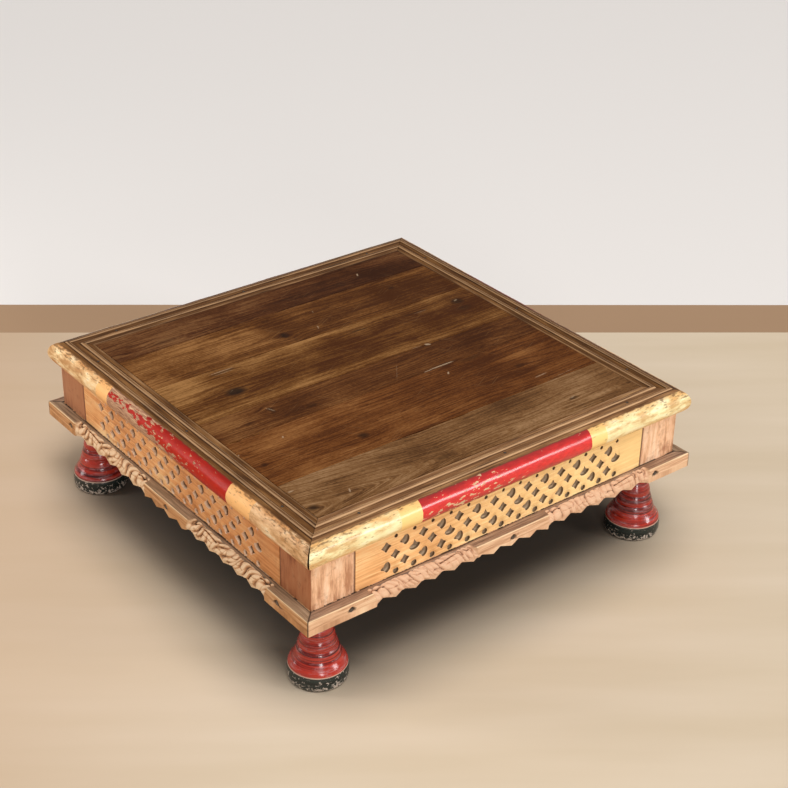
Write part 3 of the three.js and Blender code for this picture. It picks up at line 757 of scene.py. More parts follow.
def make_rail(side):
    bm = bmesh.new()
    place = bm.verts.layers.float_vector.new("place")
    rows = len(section) - 1
    bmesh.ops.create_grid(bm, x_segments=RAIL_STEPS, y_segments=rows, size=1)
    for vert in bm.verts:
        row = round((vert.co.y + 1) / 2 * rows)
        u, z, worn = section[row]
        inset = MITRE_GAP
        if u > OPEN_MITRE_START and vert.co.x * OPEN_ENDS.get(side, 0) > 0:
            inset += OPEN_MITRE * (u - OPEN_MITRE_START) / (nose_tip - OPEN_MITRE_START)
        along = vert.co.x * (u - inset)
        vert.co = Vector((along, -u, z))
        if row >= nose_start:
            round_it = section_path[row] * DENTS_ROUND
            seed = Vector((along * DENTS_ALONG, round_it, QUARTERS[side] * 5))
            out = Vector((0, NOSE_CENTRE - u, z - (top_level - NOSE_RADIUS))).normalized()
            vert.co += out * (noise.noise(seed) - 1) * DENT_HEIGHT
        vert[place] = (along, section_path[row], worn)
    close_strip(bm, side)
    material = rail_material(f"painted_teak_{side}", *RAIL_PAINTS[side])
    return finish_piece(f"rail_{side}", bm, material, "rail_wood", f"top_rail_{side}",
                        crisp=math.radians(40))


print("rail faces:", [make_rail(side) for side in QUARTERS])

# %% [markdown]
# Dry wood without paint is used in three places, with the grain along the piece: the pierced
# boards, the posts, where it stands upright, and the hidden battens. It is the same kind of
# finish each time, so one function makes it, from Object coordinates, with the grain's length and
# width in millimetres. Where wood was cut through, an attribute says how far into the cut a point
# is: the rim has worn pale and carries a painted highlight, and the wall is painted with light and
# shade, one colour near the face and another deep inside. On the posts the side faces are painted
# darker as shade, and so is a line beside their joint with the boards.


# %% Dry wood
DRY_CLOUD_MM = 71.43
SOAK_MM = 16.667
SEAM_WIDTH = 1.2 * MM
SEAM_WANDER = -3 * MM


def dry_wood(name, tones, grain_axis, fibre_mm=(90, 3.5), seed=0.0, roughness=0.6, smudge=None,
             drift=None, cuts=None, post=None):
    """Smudge is a colour and a share; drift an axis, two places in metres and a colour that the
    wood takes between them, which paints shade toward the front corner on the side boards and light
    toward the back on the posts; the cuts are the colours of a rim worn pale with a painted
    highlight, and of painted light and shade on the wall near the face and deep inside; post the
    painted shade of its side faces and the colour of its seams, a dark line of painted shade."""
    material, tree, shader = new_material(name)
    place = add(tree, "TexCoord", output="Object")
    moved = add(tree, "VectorMath", [place, (seed, seed, seed)])
    long_scale, cross_scale = repeats(*fibre_mm)
    scale = [long_scale if axis == grain_axis else cross_scale for axis in "xyz"]
    grown = add(tree, "VectorMath", [moved, scale], operation="MULTIPLY")
    lines = add(tree, "TexNoise", {"Vector": grown, "Scale": 1, "Detail": 5, "Roughness": 0.6})
    fibres = add(tree, "TexNoise", {"Vector": grown, "Scale": 5, "Detail": 2})
    clouds = add(tree, "TexNoise", {"Vector": moved, "Scale": repeats(DRY_CLOUD_MM), "Detail": 3})
    figure = add(tree, "Math", [clouds, 0.6, lines], operation="MULTIPLY_ADD")
    figure = add(tree, "Math", [fibres, 0.3, figure], operation="MULTIPLY_ADD")
    figure = add(tree, "Math", [figure, 0.45], operation="SUBTRACT")
    wood = add(tree, "ValToRGB", [figure], stops=zip((0.28, 0.5, 0.72), tones))
    layers = []
    if drift:
        axis, start, end, colour = drift
        distance = add(tree, "SeparateXYZ", [place], output=axis)
        # Drift: on the side boards painted shade toward the front corner, on the posts painted
        # light toward the back
        tone_and_light_drift = add(tree, "Math", [clouds, 0.2, distance], operation="MULTIPLY_ADD")
        tone_and_light_drift = add(tree, "MapRange", [tone_and_light_drift, start + 0.1, end + 0.1, 0, 0.55])
        layers.append((tone_and_light_drift, linear(colour), "MIX"))
    if smudge:
        colour, amount = smudge
        soak = add(tree, "TexNoise", {"Vector": moved, "Scale": repeats(SOAK_MM), "Detail": 6,
                                      "Roughness": 0.7})
        soak = add(tree, "MapRange", [soak, 0.62 - amount, 0.74 - amount / 2, 0, 0.55])
        layers.append((soak, linear(colour), "MIX"))
    if post:
        side_shade, seam = post
        # Painted shade: faces turned to the sides are darkened
        facing = add(tree, "TexCoord", output="Normal")
        facing = add(tree, "VectorMath", [facing], operation="ABSOLUTE")
        shaded_sides = add(tree, "SeparateXYZ", [facing])
        from_middle = add(tree, "VectorMath", [place], operation="ABSOLUTE")
        out_x, out_y, _ = add(tree, "SeparateXYZ", [from_middle]).node.outputs
        # A dark line painted on the post beside its joint with the board, as the joint's shade
        inner = add(tree, "Math", [out_x, out_y], operation="MINIMUM")
        inner = add(tree, "Math", [lines, SEAM_WANDER, inner], operation="MULTIPLY_ADD")
        inner = add(tree, "MapRange", [inner, post_inner, post_inner + SEAM_WIDTH, 0.75, 0])
        layers += [(shaded_sides, linear(side_shade), "MULTIPLY"), (inner, linear(seam), "MIX")]
    if cuts:
        # Painted highlight on the worn rim, and painted light and shade on the hole's wall
        rim, wall, deep = cuts
        hollow = add(tree, "Attribute", output="Fac", attribute_name="hollow")
        rim_wear_and_highlight = add(tree, "ValToRGB", [hollow],
                     stops=[(0.05, 0.0), (0.3, 0.55), (0.45, 0.3), (0.6, 0.0)])
        inside = add(tree, "ValToRGB", [hollow], stops=[(0.78, wall), (0.89, deep)])
        hole_shade_cover = add(tree, "MapRange", [hollow, 0.4, 0.65, 0, 0.92])
        layers += [(rim_wear_and_highlight, linear(rim), "MIX"), (hole_shade_cover, inside, "MIX")]
    for cover, colour, blend in layers:
        wood = add(tree, "Mix", {0: cover, 6: wood, 7: colour}, blend_type=blend, **COLOUR)
    bump = add(tree, "Bump", {"Height": fibres, "Strength": 0.3, "Distance": 0.3 * MM})
    connect(tree, shader, {"Base Color": wood, "Roughness": roughness, "Specular IOR Level": 0.35,
                           "Normal": bump})
    return material


# %% [markdown]
# The pierced board is a jali. Its holes were drilled and then opened with a knife: square ones
# that stand on a point with hollow sides, and round ones drawn out to a tail, in three rows, with
# small drilled holes above and below. Each hole is a ring whose radius changes with the angle,
# and a seeded random turn, shift and size keep the rows handmade. The face between the rings is
# filled with triangles, and each ring is then drawn back through the board over a worn rim.

# %% Shapes of the piercings
HOLE_STEPS = 32
JALI_PITCH = 27.4 * MM
JALI_ROW_PITCH = 14.2 * MM
JALI_COLUMNS = 28
JALI_MIDDLE_DROP = 28.6 * MM
TOP_HOLES_DROP = 3.9 * MM
LOW_HOLES_DROP = 53.2 * MM


def hollow_side(first, second, dip, angle):
    """Radius between two points of a hole a quarter turn apart, with a hollow side between them."""
    share = angle / (math.pi / 2) % 1
    return first + (second - first) * share - dip * math.sin(math.pi * share) ** 0.8


def oval(half_width, half_height, angle):
    return 1 / math.hypot(math.cos(angle) / half_width, math.sin(angle) / half_height)


# The radius of each shape is in millimetres, and the angle in radians from the right
def square_radius(angle):
    """Stands on a point, with hollow sides."""
    return hollow_side(7.5, 7.5, 2.8, angle)


def leaf_radius(angle):
    """Round on the right, with hollow sides that meet in a tail on the left."""
    if math.cos(angle) > 0:
        return oval(6.4, 7.6, angle)
    ends = (7.6, 8.8) if math.sin(angle) > 0 else (8.8, 7.6)
    return hollow_side(*ends, 3.6, angle)


def raised_leaf_radius(angle):
    """Round below, with hollow sides that meet in a tip above."""
    if math.sin(angle) < 0:
        return oval(8.2, 6.2, angle)
    ends = (8.2, 7.4) if math.cos(angle) > 0 else (7.4, 8.2)
    return hollow_side(*ends, 3.8, angle)


def low_round_radius(angle):
    """Drilled, so it is the same at every angle."""
    return 4.1


def top_round_radius(angle):
    """Drilled with a finer bit."""
    return 2.5


ROUND_SHAPES = (low_round_radius, top_round_radius)
# How far down a row is, its first column, and the two shapes that take turns in it
JALI_ROWS = [
    (TOP_HOLES_DROP, 1, (top_round_radius, top_round_radius)),
    (JALI_MIDDLE_DROP - JALI_ROW_PITCH, 0, (square_radius, leaf_radius)),
    (JALI_MIDDLE_DROP, 1, (square_radius, raised_leaf_radius)),
    (JALI_MIDDLE_DROP + JALI_ROW_PITCH, 0, (leaf_radius, square_radius)),
    (LOW_HOLES_DROP, 1, (low_round_radius, low_round_radius)),
]
HOLE_STRAY = 0.7
ROUND_STRAY = 0.3
HOLE_SIZES = (0.92, 1.0)
HOLE_LEAN = 0.12


def jali_holes(chance):
    """Centre, size, lean and shape of each hole of one board."""
    holes = []
    for drop, first, shapes in JALI_ROWS:
        for column in range(first, JALI_COLUMNS, 2):
            shape = shapes[(column - first) // 2 % 2]
            stray = ROUND_STRAY if shape in ROUND_SHAPES else HOLE_STRAY
            x = (column - (JALI_COLUMNS - 1) / 2) * JALI_PITCH / 2
            x += chance.uniform(-stray, stray) * MM
            z = apron_high.z - drop + chance.uniform(-stray, stray) * MM
            size = chance.uniform(*HOLE_SIZES) * MM
            holes.append((x, z, size, chance.uniform(-HOLE_LEAN, HOLE_LEAN), shape))
    return holes


print("holes in a board:", len(jali_holes(random.Random(0))))

# %% The four pierced boards
APRON_THICKNESS = apron_high.y - apron_low.y
APRON_END = post_inner - 0.6 * MM
# Steps from the face back through the board: growth of the ring, depth, and how hollow it is
RIM_STEPS = [(0.8 * MM, 0.0, 0.0), (0.3 * MM, 0.2 * MM, 0.35), (0.0, 0.9 * MM, 0.7),
             (0.0, 3 * MM, 0.8), (0.0, 5 * MM, 0.9), (0.0, APRON_THICKNESS, 1.0)]
OUTLINE_SHARE = 0.15
FILL_TOLERANCE = 1e-9


def ring_points(hole, grow):
    x, z, size, lean, shape = hole
    points = []
    for step in range(HOLE_STEPS):
        angle = 2 * math.pi * step / HOLE_STEPS
        radius = shape(angle) * size + grow
        turned = angle + lean
        points.append(Vector((x + radius * math.cos(turned), z + radius * math.sin(turned))))
    return points


def in_hole(point, hole):
    x, z, size, lean, shape = hole
    across, upward = point.x - x, point.y - z
    return math.hypot(across, upward) < shape(math.atan2(upward, across) - lean) * size


def layer_rings(holes, grow):
    """The board's outline, and then the ring of each hole."""
    inset = grow * OUTLINE_SHARE
    end, low, high = APRON_END - inset, apron_low.z + inset, apron_high.z - inset
    outline = [Vector(corner) for corner in ((-end, low), (end, low), (end, high), (-end, high))]
    return [outline] + [ring_points(hole, grow) for hole in holes]


def make_jali(side, material):
    holes = jali_holes(random.Random(QUARTERS[side] + 1))
    bm = bmesh.new()
    hollow = bm.verts.layers.float.new("hollow")
    layers = []
    for grow, depth, how_hollow in RIM_STEPS:
        made = []
        for number, ring in enumerate(layer_rings(holes, grow)):
            made.append([bm.verts.new((point.x, depth - carcass_face, point.y)) for point in ring])
            for vert in made[-1]:
                vert[hollow] = how_hollow if number else 0
        layers.append(made)
    flat = [point for ring in layer_rings(holes, RIM_STEPS[0][0]) for point in ring]
    edges, start = [], 0
    for ring in layers[0]:
        edges += [(start + i, start + (i + 1) % len(ring)) for i in range(len(ring))]
        start += len(ring)
    _, _, triangles, sources, _, _ = delaunay_2d_cdt(flat, edges, [], 0, FILL_TOLERANCE)
    front = [vert for ring in layers[0] for vert in ring]
    rear = [vert for ring in layers[-1] for vert in ring]
    for triangle in triangles:
        corners = [sources[i][0] for i in triangle]
        centre = sum((flat[i] for i in corners), Vector((0, 0))) / 3
        close_by = [hole for hole in holes if abs(centre.x - hole[0]) < JALI_ROW_PITCH]
        if any(in_hole(centre, hole) for hole in close_by):
            continue
        bm.faces.new([front[i] for i in corners])
        bm.faces.new([rear[i] for i in reversed(corners)])
    for near, far in zip(layers, layers[1:]):
        for near_ring, far_ring in zip(near, far):
            for i in range(len(near_ring)):
                j = (i + 1) % len(near_ring)
                bm.faces.new((near_ring[i], near_ring[j], far_ring[j], far_ring[i]))
    bmesh.ops.recalc_face_normals(bm, faces=bm.faces)
    turn_to(bm, side)
    return finish_piece(f"jali_{side}", bm, material, "jali_wood", f"apron_{side}")


# Front holes: painted shade just inside the rim and a lighter painted fill deep inside
jali_front = dry_wood("jali_teak_front", ("#cd8d54", "#ecae72", "#f7d098"), "x", seed=1.0,
                      smudge=("#d8966a", 0.05), drift=(0, -0.24, 0.12, "#f9dc96"),
                      cuts=("#f6d2b0", "#58422c", "#e2cbae"))
# The side boards' tones are darker, partly as painted shade of the table's shaded sides; their hole
# walls are painted lit near the face and dark deep inside
jali_side_shaded = dry_wood("jali_teak_side_shaded", ("#b87644", "#e6a264", "#f4c68c"), "y", seed=4.0,
                     smudge=("#b06c40", 0.09), drift=(1, 0.06, -0.24, "#bc733a"),
                     cuts=("#f4d0b2", "#f2d2b2", "#86644a"))
JALI_WOODS = dict(zip(QUARTERS, (jali_front, jali_side_shaded) * 2))
print("jali faces:", [make_jali(side, JALI_WOODS[side]) for side in QUARTERS])

# %% [markdown]
# The posts are square sticks with their grain upright. Handling has rounded their corners a
# little, and that rounded edge is what catches the light.

# %% The four posts
POST_EASE = 1.1 * MM


def make_post(corner, material):
    low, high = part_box(f"post_{corner}")
    bm = bmesh.new()
    bmesh.ops.create_cube(bm, size=1)
    for vert in bm.verts:
        vert.co = [low[i] + (high[i] - low[i]) * (vert.co[i] + 0.5) for i in range(3)]
    upright = [edge for edge in bm.edges
               if abs(edge.verts[0].co.z - edge.verts[1].co.z) > POST_EASE]
    bmesh.ops.bevel(bm, geom=upright, offset=POST_EASE, segments=3, profile=0.5, affect="EDGES",
                    material=-1)
    return finish_piece(f"corner_{corner}", bm, material, "post_wood", f"post_{corner}",
                        crisp=math.radians(20))


CORNERS = ("front_left", "front_right", "back_right", "back_left")
# Post finish: side faces painted darker as shade, a dark painted shade line by the joints, and the
# back posts painted lighter
post_wood = dry_wood("post_teak", ("#ba845f", "#ecbb93", "#f8d6b4"), "z", fibre_mm=(45, 6),
                     seed=2.0, smudge=("#96583c", 0.085), drift=(1, 0.1, 0.3, "#fde2cc"),
                     post=("#b58e72", "#5a3426"))
print("post faces:", [make_post(corner, post_wood) for corner in CORNERS])

# %% [markdown]
# The moulding is a square strip. Its upper front edge was cut away in two long stretches and
# carved, and its lower edge was sawn to leaning teeth and bevelled. The carver set out veins from
# the ledge down to the teeth, hollowed each petal between two veins, and deepened the ends with a
# gouge.

# %% The carver's pattern
TOOTH_DEPTH = 7 * MM
TOOTH_PITCH = 30 * MM
TOOTH_RISE_SHARE = 0.36
TOOTH_BEVEL = 2.2 * MM
BEVEL_HEIGHT = 7.5 * MM
SKIRT_FAR = 73 * MM
FRONT_LENGTHS = {"near": 98 * MM, "first": 156 * MM, "middle": 113 * MM}
SIDE_LENGTHS = {"near": 88 * MM, "first": 174 * MM, "middle": 98 * MM}
# Width and depth of a strand of leaf, and the share of the veins' depth that was cut
FRONT_STRANDS = (12.5, 1.5 * MM, 0.9)
SIDE_STRANDS = (14.0, 3.6 * MM, 0.6)
# The last value is -1 for a side strip, which is a mirror image of a front one
SKIRTS = dict(zip(QUARTERS, ((FRONT_LENGTHS, FRONT_STRANDS, 1),
                             (SIDE_LENGTHS, SIDE_STRANDS, -1)) * 2))

# Veins: place at the ledge and at the teeth as shares of the stretch, depth and bend in millimetres
VEIN_SHARES = [
    (0.000, 0.000, 0.9, 0.0), (0.050, 0.058, 2.3, 1.0), (0.115, 0.140, 3.8, 1.5),
    (0.165, 0.215, 1.9, 2.5), (0.222, 0.268, 1.7, 2.0), (0.282, 0.318, 2.2, -1.5),
    (0.335, 0.362, 1.7, -2.0), (0.385, 0.400, 3.8, -2.5), (0.430, 0.462, 1.9, 2.5),
    (0.486, 0.515, 1.9, 2.0), (0.540, 0.560, 2.3, -1.5), (0.588, 0.605, 1.7, -2.0),
    (0.640, 0.652, 3.8, -2.0), (0.690, 0.735, 2.0, 2.5), (0.770, 0.805, 1.9, 2.0),
    (0.850, 0.862, 4.1, 1.0), (0.900, 0.905, 2.6, -1.0), (0.948, 0.950, 2.9, 1.0),
    (1.000, 1.000, 0.9, 0.0),
]
# Gouge cuts: three places, each along and down as shares, then half width and depth in millimetres
GOUGE_SHARES = [
    ((0.010, 0.30), (0.035, 0.20), (0.060, 0.26), 1.3, 2.2),
    ((0.062, 0.34), (0.100, 0.22), (0.135, 0.26), 1.5, 3.0),
    ((0.150, 0.55), (0.185, 0.62), (0.230, 0.60), 0.8, 1.2),
    ((0.245, 0.10), (0.262, 0.38), (0.245, 0.62), 0.8, 1.4),
    ((0.300, 0.70), (0.345, 0.60), (0.380, 0.66), 0.8, 1.2),
    ((0.400, 0.30), (0.425, 0.48), (0.460, 0.50), 0.9, 1.5),
    ((0.515, 0.16), (0.530, 0.40), (0.512, 0.66), 0.8, 1.4),
    ((0.560, 0.72), (0.600, 0.62), (0.636, 0.68), 0.8, 1.2),
    ((0.660, 0.42), (0.745, 0.34), (0.845, 0.20), 1.2, 2.6),
    ((0.690, 0.66), (0.760, 0.60), (0.830, 0.58), 0.8, 1.1),
    ((0.868, 0.08), (0.882, 0.28), (0.876, 0.50), 1.6, 3.2),
    ((0.915, 0.20), (0.930, 0.36), (0.950, 0.30), 1.4, 2.8),
    ((0.965, 0.12), (0.978, 0.34), (0.970, 0.55), 1.2, 2.2),
]
# The ledge is narrow over each leaf and wide where two leaves meet: those places, as shares
LEAF_ENDS = (0.0, 0.05, 0.115, 0.385, 0.64, 0.85, 0.948, 1.0)
PETAL_TILT = 0.8 * MM
START_LEAN = 8 * MM
STRAND_LEAN = 9.0
LEDGE_AT_LEAF = 5.2 * MM
LEDGE_BETWEEN = 8.0 * MM
CARVED_ROUNDNESS = 1.7
SHOULDER = 2.5 * MM
CARVED_DEPTH_MM = 20
print("in each stretch:", len(VEIN_SHARES), "veins and", len(GOUGE_SHARES), "gouge cuts")

# %% [markdown]
# The work is done on whole arrays of points at once: how carved a point is and where in its
# stretch it lies, which petal it belongs to, and how near it is to a gouge cut.


# %% Carving a strip
def tooth_height(along, near):
    start, end = near - skirt_face, skirt_face - SKIRT_FAR
    count = max(1, round((end - start) / TOOTH_PITCH))
    share = (along - start) / (end - start) * count
    part = share - np.floor(share)
    rise = np.where(part < TOOTH_RISE_SHARE, part / TOOTH_RISE_SHARE,
                    (1 - part) / (1 - TOOTH_RISE_SHARE))
    return np.where((share < 0) | (share > count), 0, rise * TOOTH_DEPTH)


def carved_stretches(along, down, lengths):
    """How carved each point is, and its share of the stretch that it lies in."""
    along = along + START_LEAN * (1 - down) * (along < 0.1 * skirt_face)
    first = lengths["near"] - skirt_face
    second = first + lengths["first"] + lengths["middle"]
    carved, share = np.zeros_like(along), np.zeros_like(along)
    for start, end in ((first, first + lengths["first"]), (second, skirt_face - SKIRT_FAR)):
        inside = (along >= start) & (along <= end)
        shoulder = np.clip(np.minimum(along - start, end - along) / SHOULDER, 0, 1)
        carved = np.where(inside, shoulder, carved)
        share = np.where(inside, (along - start) / (end - start), share)
    return carved, share


def petals(share, down, length_mm):
    """Height of the petals between the veins, at most zero, in metres."""
    height = np.zeros_like(share)
    places = []
    for at_ledge, at_teeth, _, bend in VEIN_SHARES:
        sway = bend / length_mm * np.sin(math.pi * down)
        places.append(at_ledge + (at_teeth - at_ledge) * down + sway)
    for left, right, vein, next_vein in zip(places, places[1:], VEIN_SHARES, VEIN_SHARES[1:]):
        part = np.clip((share - left) / (right - left), 0, 1)
        depth = (vein[2] + (next_vein[2] - vein[2]) * part) * MM
        bowl = (4 * part * (1 - part)) ** 0.3
        petal = -depth * (1 - bowl) + PETAL_TILT * (part - 0.5) * bowl - PETAL_TILT / 2
        height = np.where((share >= left) & (share < right), petal, height)
    return height


def leaf_flow(share, down, length_mm, width_mm, depth):
    """Cuts between the strands of the leaves, which wander as a knife does, in metres."""
    along = share * length_mm
    wander = 2.6 * np.sin(along / 11.7 + 1.3 * down) + 1.7 * np.sin(along / 5.9 - 2.1 * down + 1)
    bend = 3.4 * np.sin(2 * math.pi * 0.8 * down + along / 14)
    strand = np.abs(np.sin(math.pi * (along - STRAND_LEAN * down + wander + bend) / width_mm))
    strength = 0.65 + 0.35 * np.sin(along / 8.3 + 4 * down)
    return (strand ** 0.6 - 1) * strength * depth


def gouges(share, down, length_mm):
    """Depth of the gouge cuts, in metres."""
    depth_here = np.zeros_like(share)
    px, py = share * length_mm, down * CARVED_DEPTH_MM
    for first, second, third, half_width, depth in GOUGE_SHARES:
        for (x0, y0), (x1, y1) in ((first, second), (second, third)):
            ax, ay = x0 * length_mm, y0 * CARVED_DEPTH_MM
            bx, by = x1 * length_mm - ax, y1 * CARVED_DEPTH_MM - ay
            t = np.clip(((px - ax) * bx + (py - ay) * by) / (bx * bx + by * by), 0, 1)
            gap = np.hypot(px - ax - t * bx, py - ay - t * by)
            depth_here = np.maximum(depth_here, np.clip(1 - gap / half_width, 0, 1) * depth * MM)
    return depth_here


def ledge_width(share):
    ledge = np.full_like(share, LEDGE_BETWEEN)
    for start, end in zip(LEAF_ENDS, LEAF_ENDS[1:]):
        bow = np.clip(1 - ((share - (start + end) / 2) / ((end - start) / 2)) ** 2, 0, 1)
        ledge = np.minimum(ledge, LEDGE_BETWEEN - (LEDGE_BETWEEN - LEDGE_AT_LEAF) * bow ** 0.35)
    return ledge


# %% [markdown]
# A grid is wrapped round the strip: ledge, face, bevelled teeth, underside and back. On the face
# the plain section and the carved one are both worked out and mixed by how carved the place is.
# The nails sit in countersunk holes, and the side strips have split at their near nail.

# %% The nails' marks on a moulding
SINK_RADIUS = 4.7 * MM
SINK_SLOPE = 1.3 * MM
SINK_DEPTH = 2.5 * MM
STAIN_RADIUS = 4.6 * MM
SPLIT_HALF = (13 * MM, 1.5 * MM)
SPLIT_DEPTH = 3.0 * MM
SPLIT_DROP = 2.5 * MM


def nail_marks(along, level, has_split):
    """How deep the countersinks and the split are, and how stained the wood is round them."""
    sunk, stain = np.zeros_like(along), np.zeros_like(along)
    for place in (-nail_place, 0, nail_place):
        away = np.hypot(along - place, level - nail_level)
        sunk = np.maximum(sunk, np.clip((SINK_RADIUS - away) / SINK_SLOPE, 0, 1) * SINK_DEPTH)
        smear = np.hypot((along - place) / 2, level - nail_level)
        stain = np.maximum(stain, np.exp(-(smear / STAIN_RADIUS) ** 2))
    if has_split:
        half, half_height = SPLIT_HALF
        upward = level - nail_level + SPLIT_DROP
        away = np.hypot((along + nail_place) / half, upward / half_height)
        sunk = np.maximum(sunk, np.clip(1.4 - away, 0, 1) * SPLIT_DEPTH)
        stain = np.maximum(stain, np.exp(-away ** 2 / 2))
    return sunk, stain


# %% The four mouldings
SKIRT_STEP = 0.62 * MM
ROWS = {"ledge": 5, "face": 30, "teeth": 8, "under": 3, "back": 2}
SCUFF_HEIGHT = 0.22 * MM
SCUFFS_PER_METRE = 110
CORNER_EASE = 1.1 * MM
WORN_EDGE = 1.2 * MM
MITRE_STAIN = 0.9 * MM


def strip_points(along, row, lengths, strands, has_split):
    """Out from the carcass, level, relief, and what the finish needs, for each point."""
    ends = np.cumsum([0] + list(ROWS.values()))
    on_ledge, on_face, on_teeth, on_foot, on_back = (
        np.clip((row - start) / (end - start), 0, 1) for start, end in zip(ends, ends[1:]))
    depth, back_out = skirt_face - carcass_face, skirt_back - carcass_face
    carved, share = carved_stretches(along, on_face, lengths)
    length_mm = lengths["first"] / MM
    ledge = np.where(carved > 0, ledge_width(share), LEDGE_BETWEEN)
    foot_level = skirt_low.z + tooth_height(along, lengths["near"])
    bevel_level = skirt_low.z + BEVEL_HEIGHT

    turn = (1 - on_face) * math.pi / 2
    power = 2 / CARVED_ROUNDNESS
    round_out = ledge + (depth - ledge) * np.cos(turn) ** power
    round_level = bevel_level + (skirt_high.z - bevel_level) * np.sin(turn) ** power
    travel = on_face * (depth - ledge + skirt_high.z - bevel_level) - (depth - ledge)
    eased = np.hypot(travel, CORNER_EASE)
    square_out = depth - (eased - travel) / 2
    square_level = skirt_high.z - (eased + travel) / 2
    face_out = square_out + (round_out - square_out) * carved
    face_level = square_level + (round_level - square_level) * carved

    width_mm, strand_depth, vein_share = strands
    relief = petals(share, on_face, length_mm) * vein_share - gouges(share, on_face, length_mm)
    relief = (relief + leaf_flow(share, on_face, length_mm, width_mm, strand_depth)) * carved
    relief = np.where((row >= ends[1]) & (row <= ends[3]), relief, 0) * (1 - on_teeth)
    face_out = face_out + relief * np.cos(turn)
    face_level = face_level + relief * np.sin(turn)

    out = np.where(row <= ends[1], back_out + (ledge - back_out) * on_ledge, face_out)
    level = np.where(row < ends[1], skirt_high.z, face_level)
    in_teeth = (row > ends[2]) & (row <= ends[3])
    out = np.where(in_teeth, face_out - TOOTH_BEVEL * on_teeth * carved, out)
    level = np.where(in_teeth, face_level + (foot_level - face_level) * on_teeth, level)
    below = row > ends[3]
    edge_out = depth - TOOTH_BEVEL * carved
    out = np.where(below, edge_out + (back_out - edge_out) * on_foot, out)
    level = np.where(below, foot_level + (skirt_high.z - foot_level) * on_back, level)

    sunk, stain = nail_marks(along, level, has_split)
    plain_front = ((row > ends[1]) & (row <= ends[3])) * (1 - carved)
    plain_edge = (row <= ends[2]) * (1 - carved)
    top_share = np.where(row <= ends[1], 1, np.clip(-travel / MM, 0, 1) * plain_edge)
    worn = np.exp(-(travel / WORN_EDGE) ** 2) * plain_edge
    path = np.where(row <= ends[1], out, depth + on_face * CARVED_DEPTH_MM * MM)
    return (out - sunk * plain_front, level, relief, path, top_share, worn, stain * plain_front,
            carved)


def make_skirt(side, material):
    lengths, strands, lean = SKIRTS[side]
    columns = round(2 * skirt_face / SKIRT_STEP)
    rows = sum(ROWS.values())
    bm = bmesh.new()
    place = bm.verts.layers.float_vector.new("place")
    wear = bm.verts.layers.float_vector.new("wear")
    cut = bm.verts.layers.float_vector.new("cut")
    bmesh.ops.create_grid(bm, x_segments=columns, y_segments=rows, size=1)
    grid = np.array([vert.co for vert in bm.verts])
    row = np.rint((grid[:, 1] + 1) / 2 * rows)
    along = grid[:, 0] * skirt_face
    made = strip_points(along, row, lengths, strands, has_split=lean < 0)
    limits = carcass_face + made[0] - MITRE_GAP
    at_end = np.abs(grid[:, 0]) > 1 - 1 / columns
    x = np.where(at_end, np.sign(grid[:, 0]) * limits, np.clip(along, -limits, limits))
    at_mitre = np.exp(-((limits - np.abs(x)) / MITRE_STAIN) ** 2)
    for vert, x_here, row_here, joined, values in zip(bm.verts, x, row, at_mitre, zip(*made)):
        out, level, relief, path, top_share, worn, stain, carved = values
        if ROWS["ledge"] <= row_here <= rows - ROWS["back"] - ROWS["under"]:
            spot = Vector((x_here, out * 3, level * 3)) * SCUFFS_PER_METRE
            scuff = abs(noise.noise(spot)) * SCUFF_HEIGHT
            out, level = out - scuff * (1 - top_share), level - scuff * top_share
        vert.co = (x_here * lean, -(carcass_face + out), level)
        vert[place] = (x_here * lean, path, top_share)
        vert[wear] = (relief / MM, worn, stain)
        vert[cut] = (carved, joined, 0)
    close_strip(bm, side)
    return finish_piece(f"moulding_{side}", bm, material, "skirt_wood", f"skirt_{side}",
                        crisp=math.radians(50))


# %% [markdown]
# Carved wood is coloured by height: ridges are rubbed pale and slightly pink with a painted
# highlight, cuts hold dirt and painted shade, and the flat ledge on top has gone grey with dust. A
# dark line painted along the ledge's inner edge is the shade where the moulding meets the board.
# The mesh keeps the height, the ledge and the rubbed edges, whose pale line is partly a painted
# highlight, and how near a point is to the mitre, where the joint shows as a dark line.


# %% Carved wood
STRIP_LINE_MM = (62.5, 3.5714)
BLOT_MM = 11.111


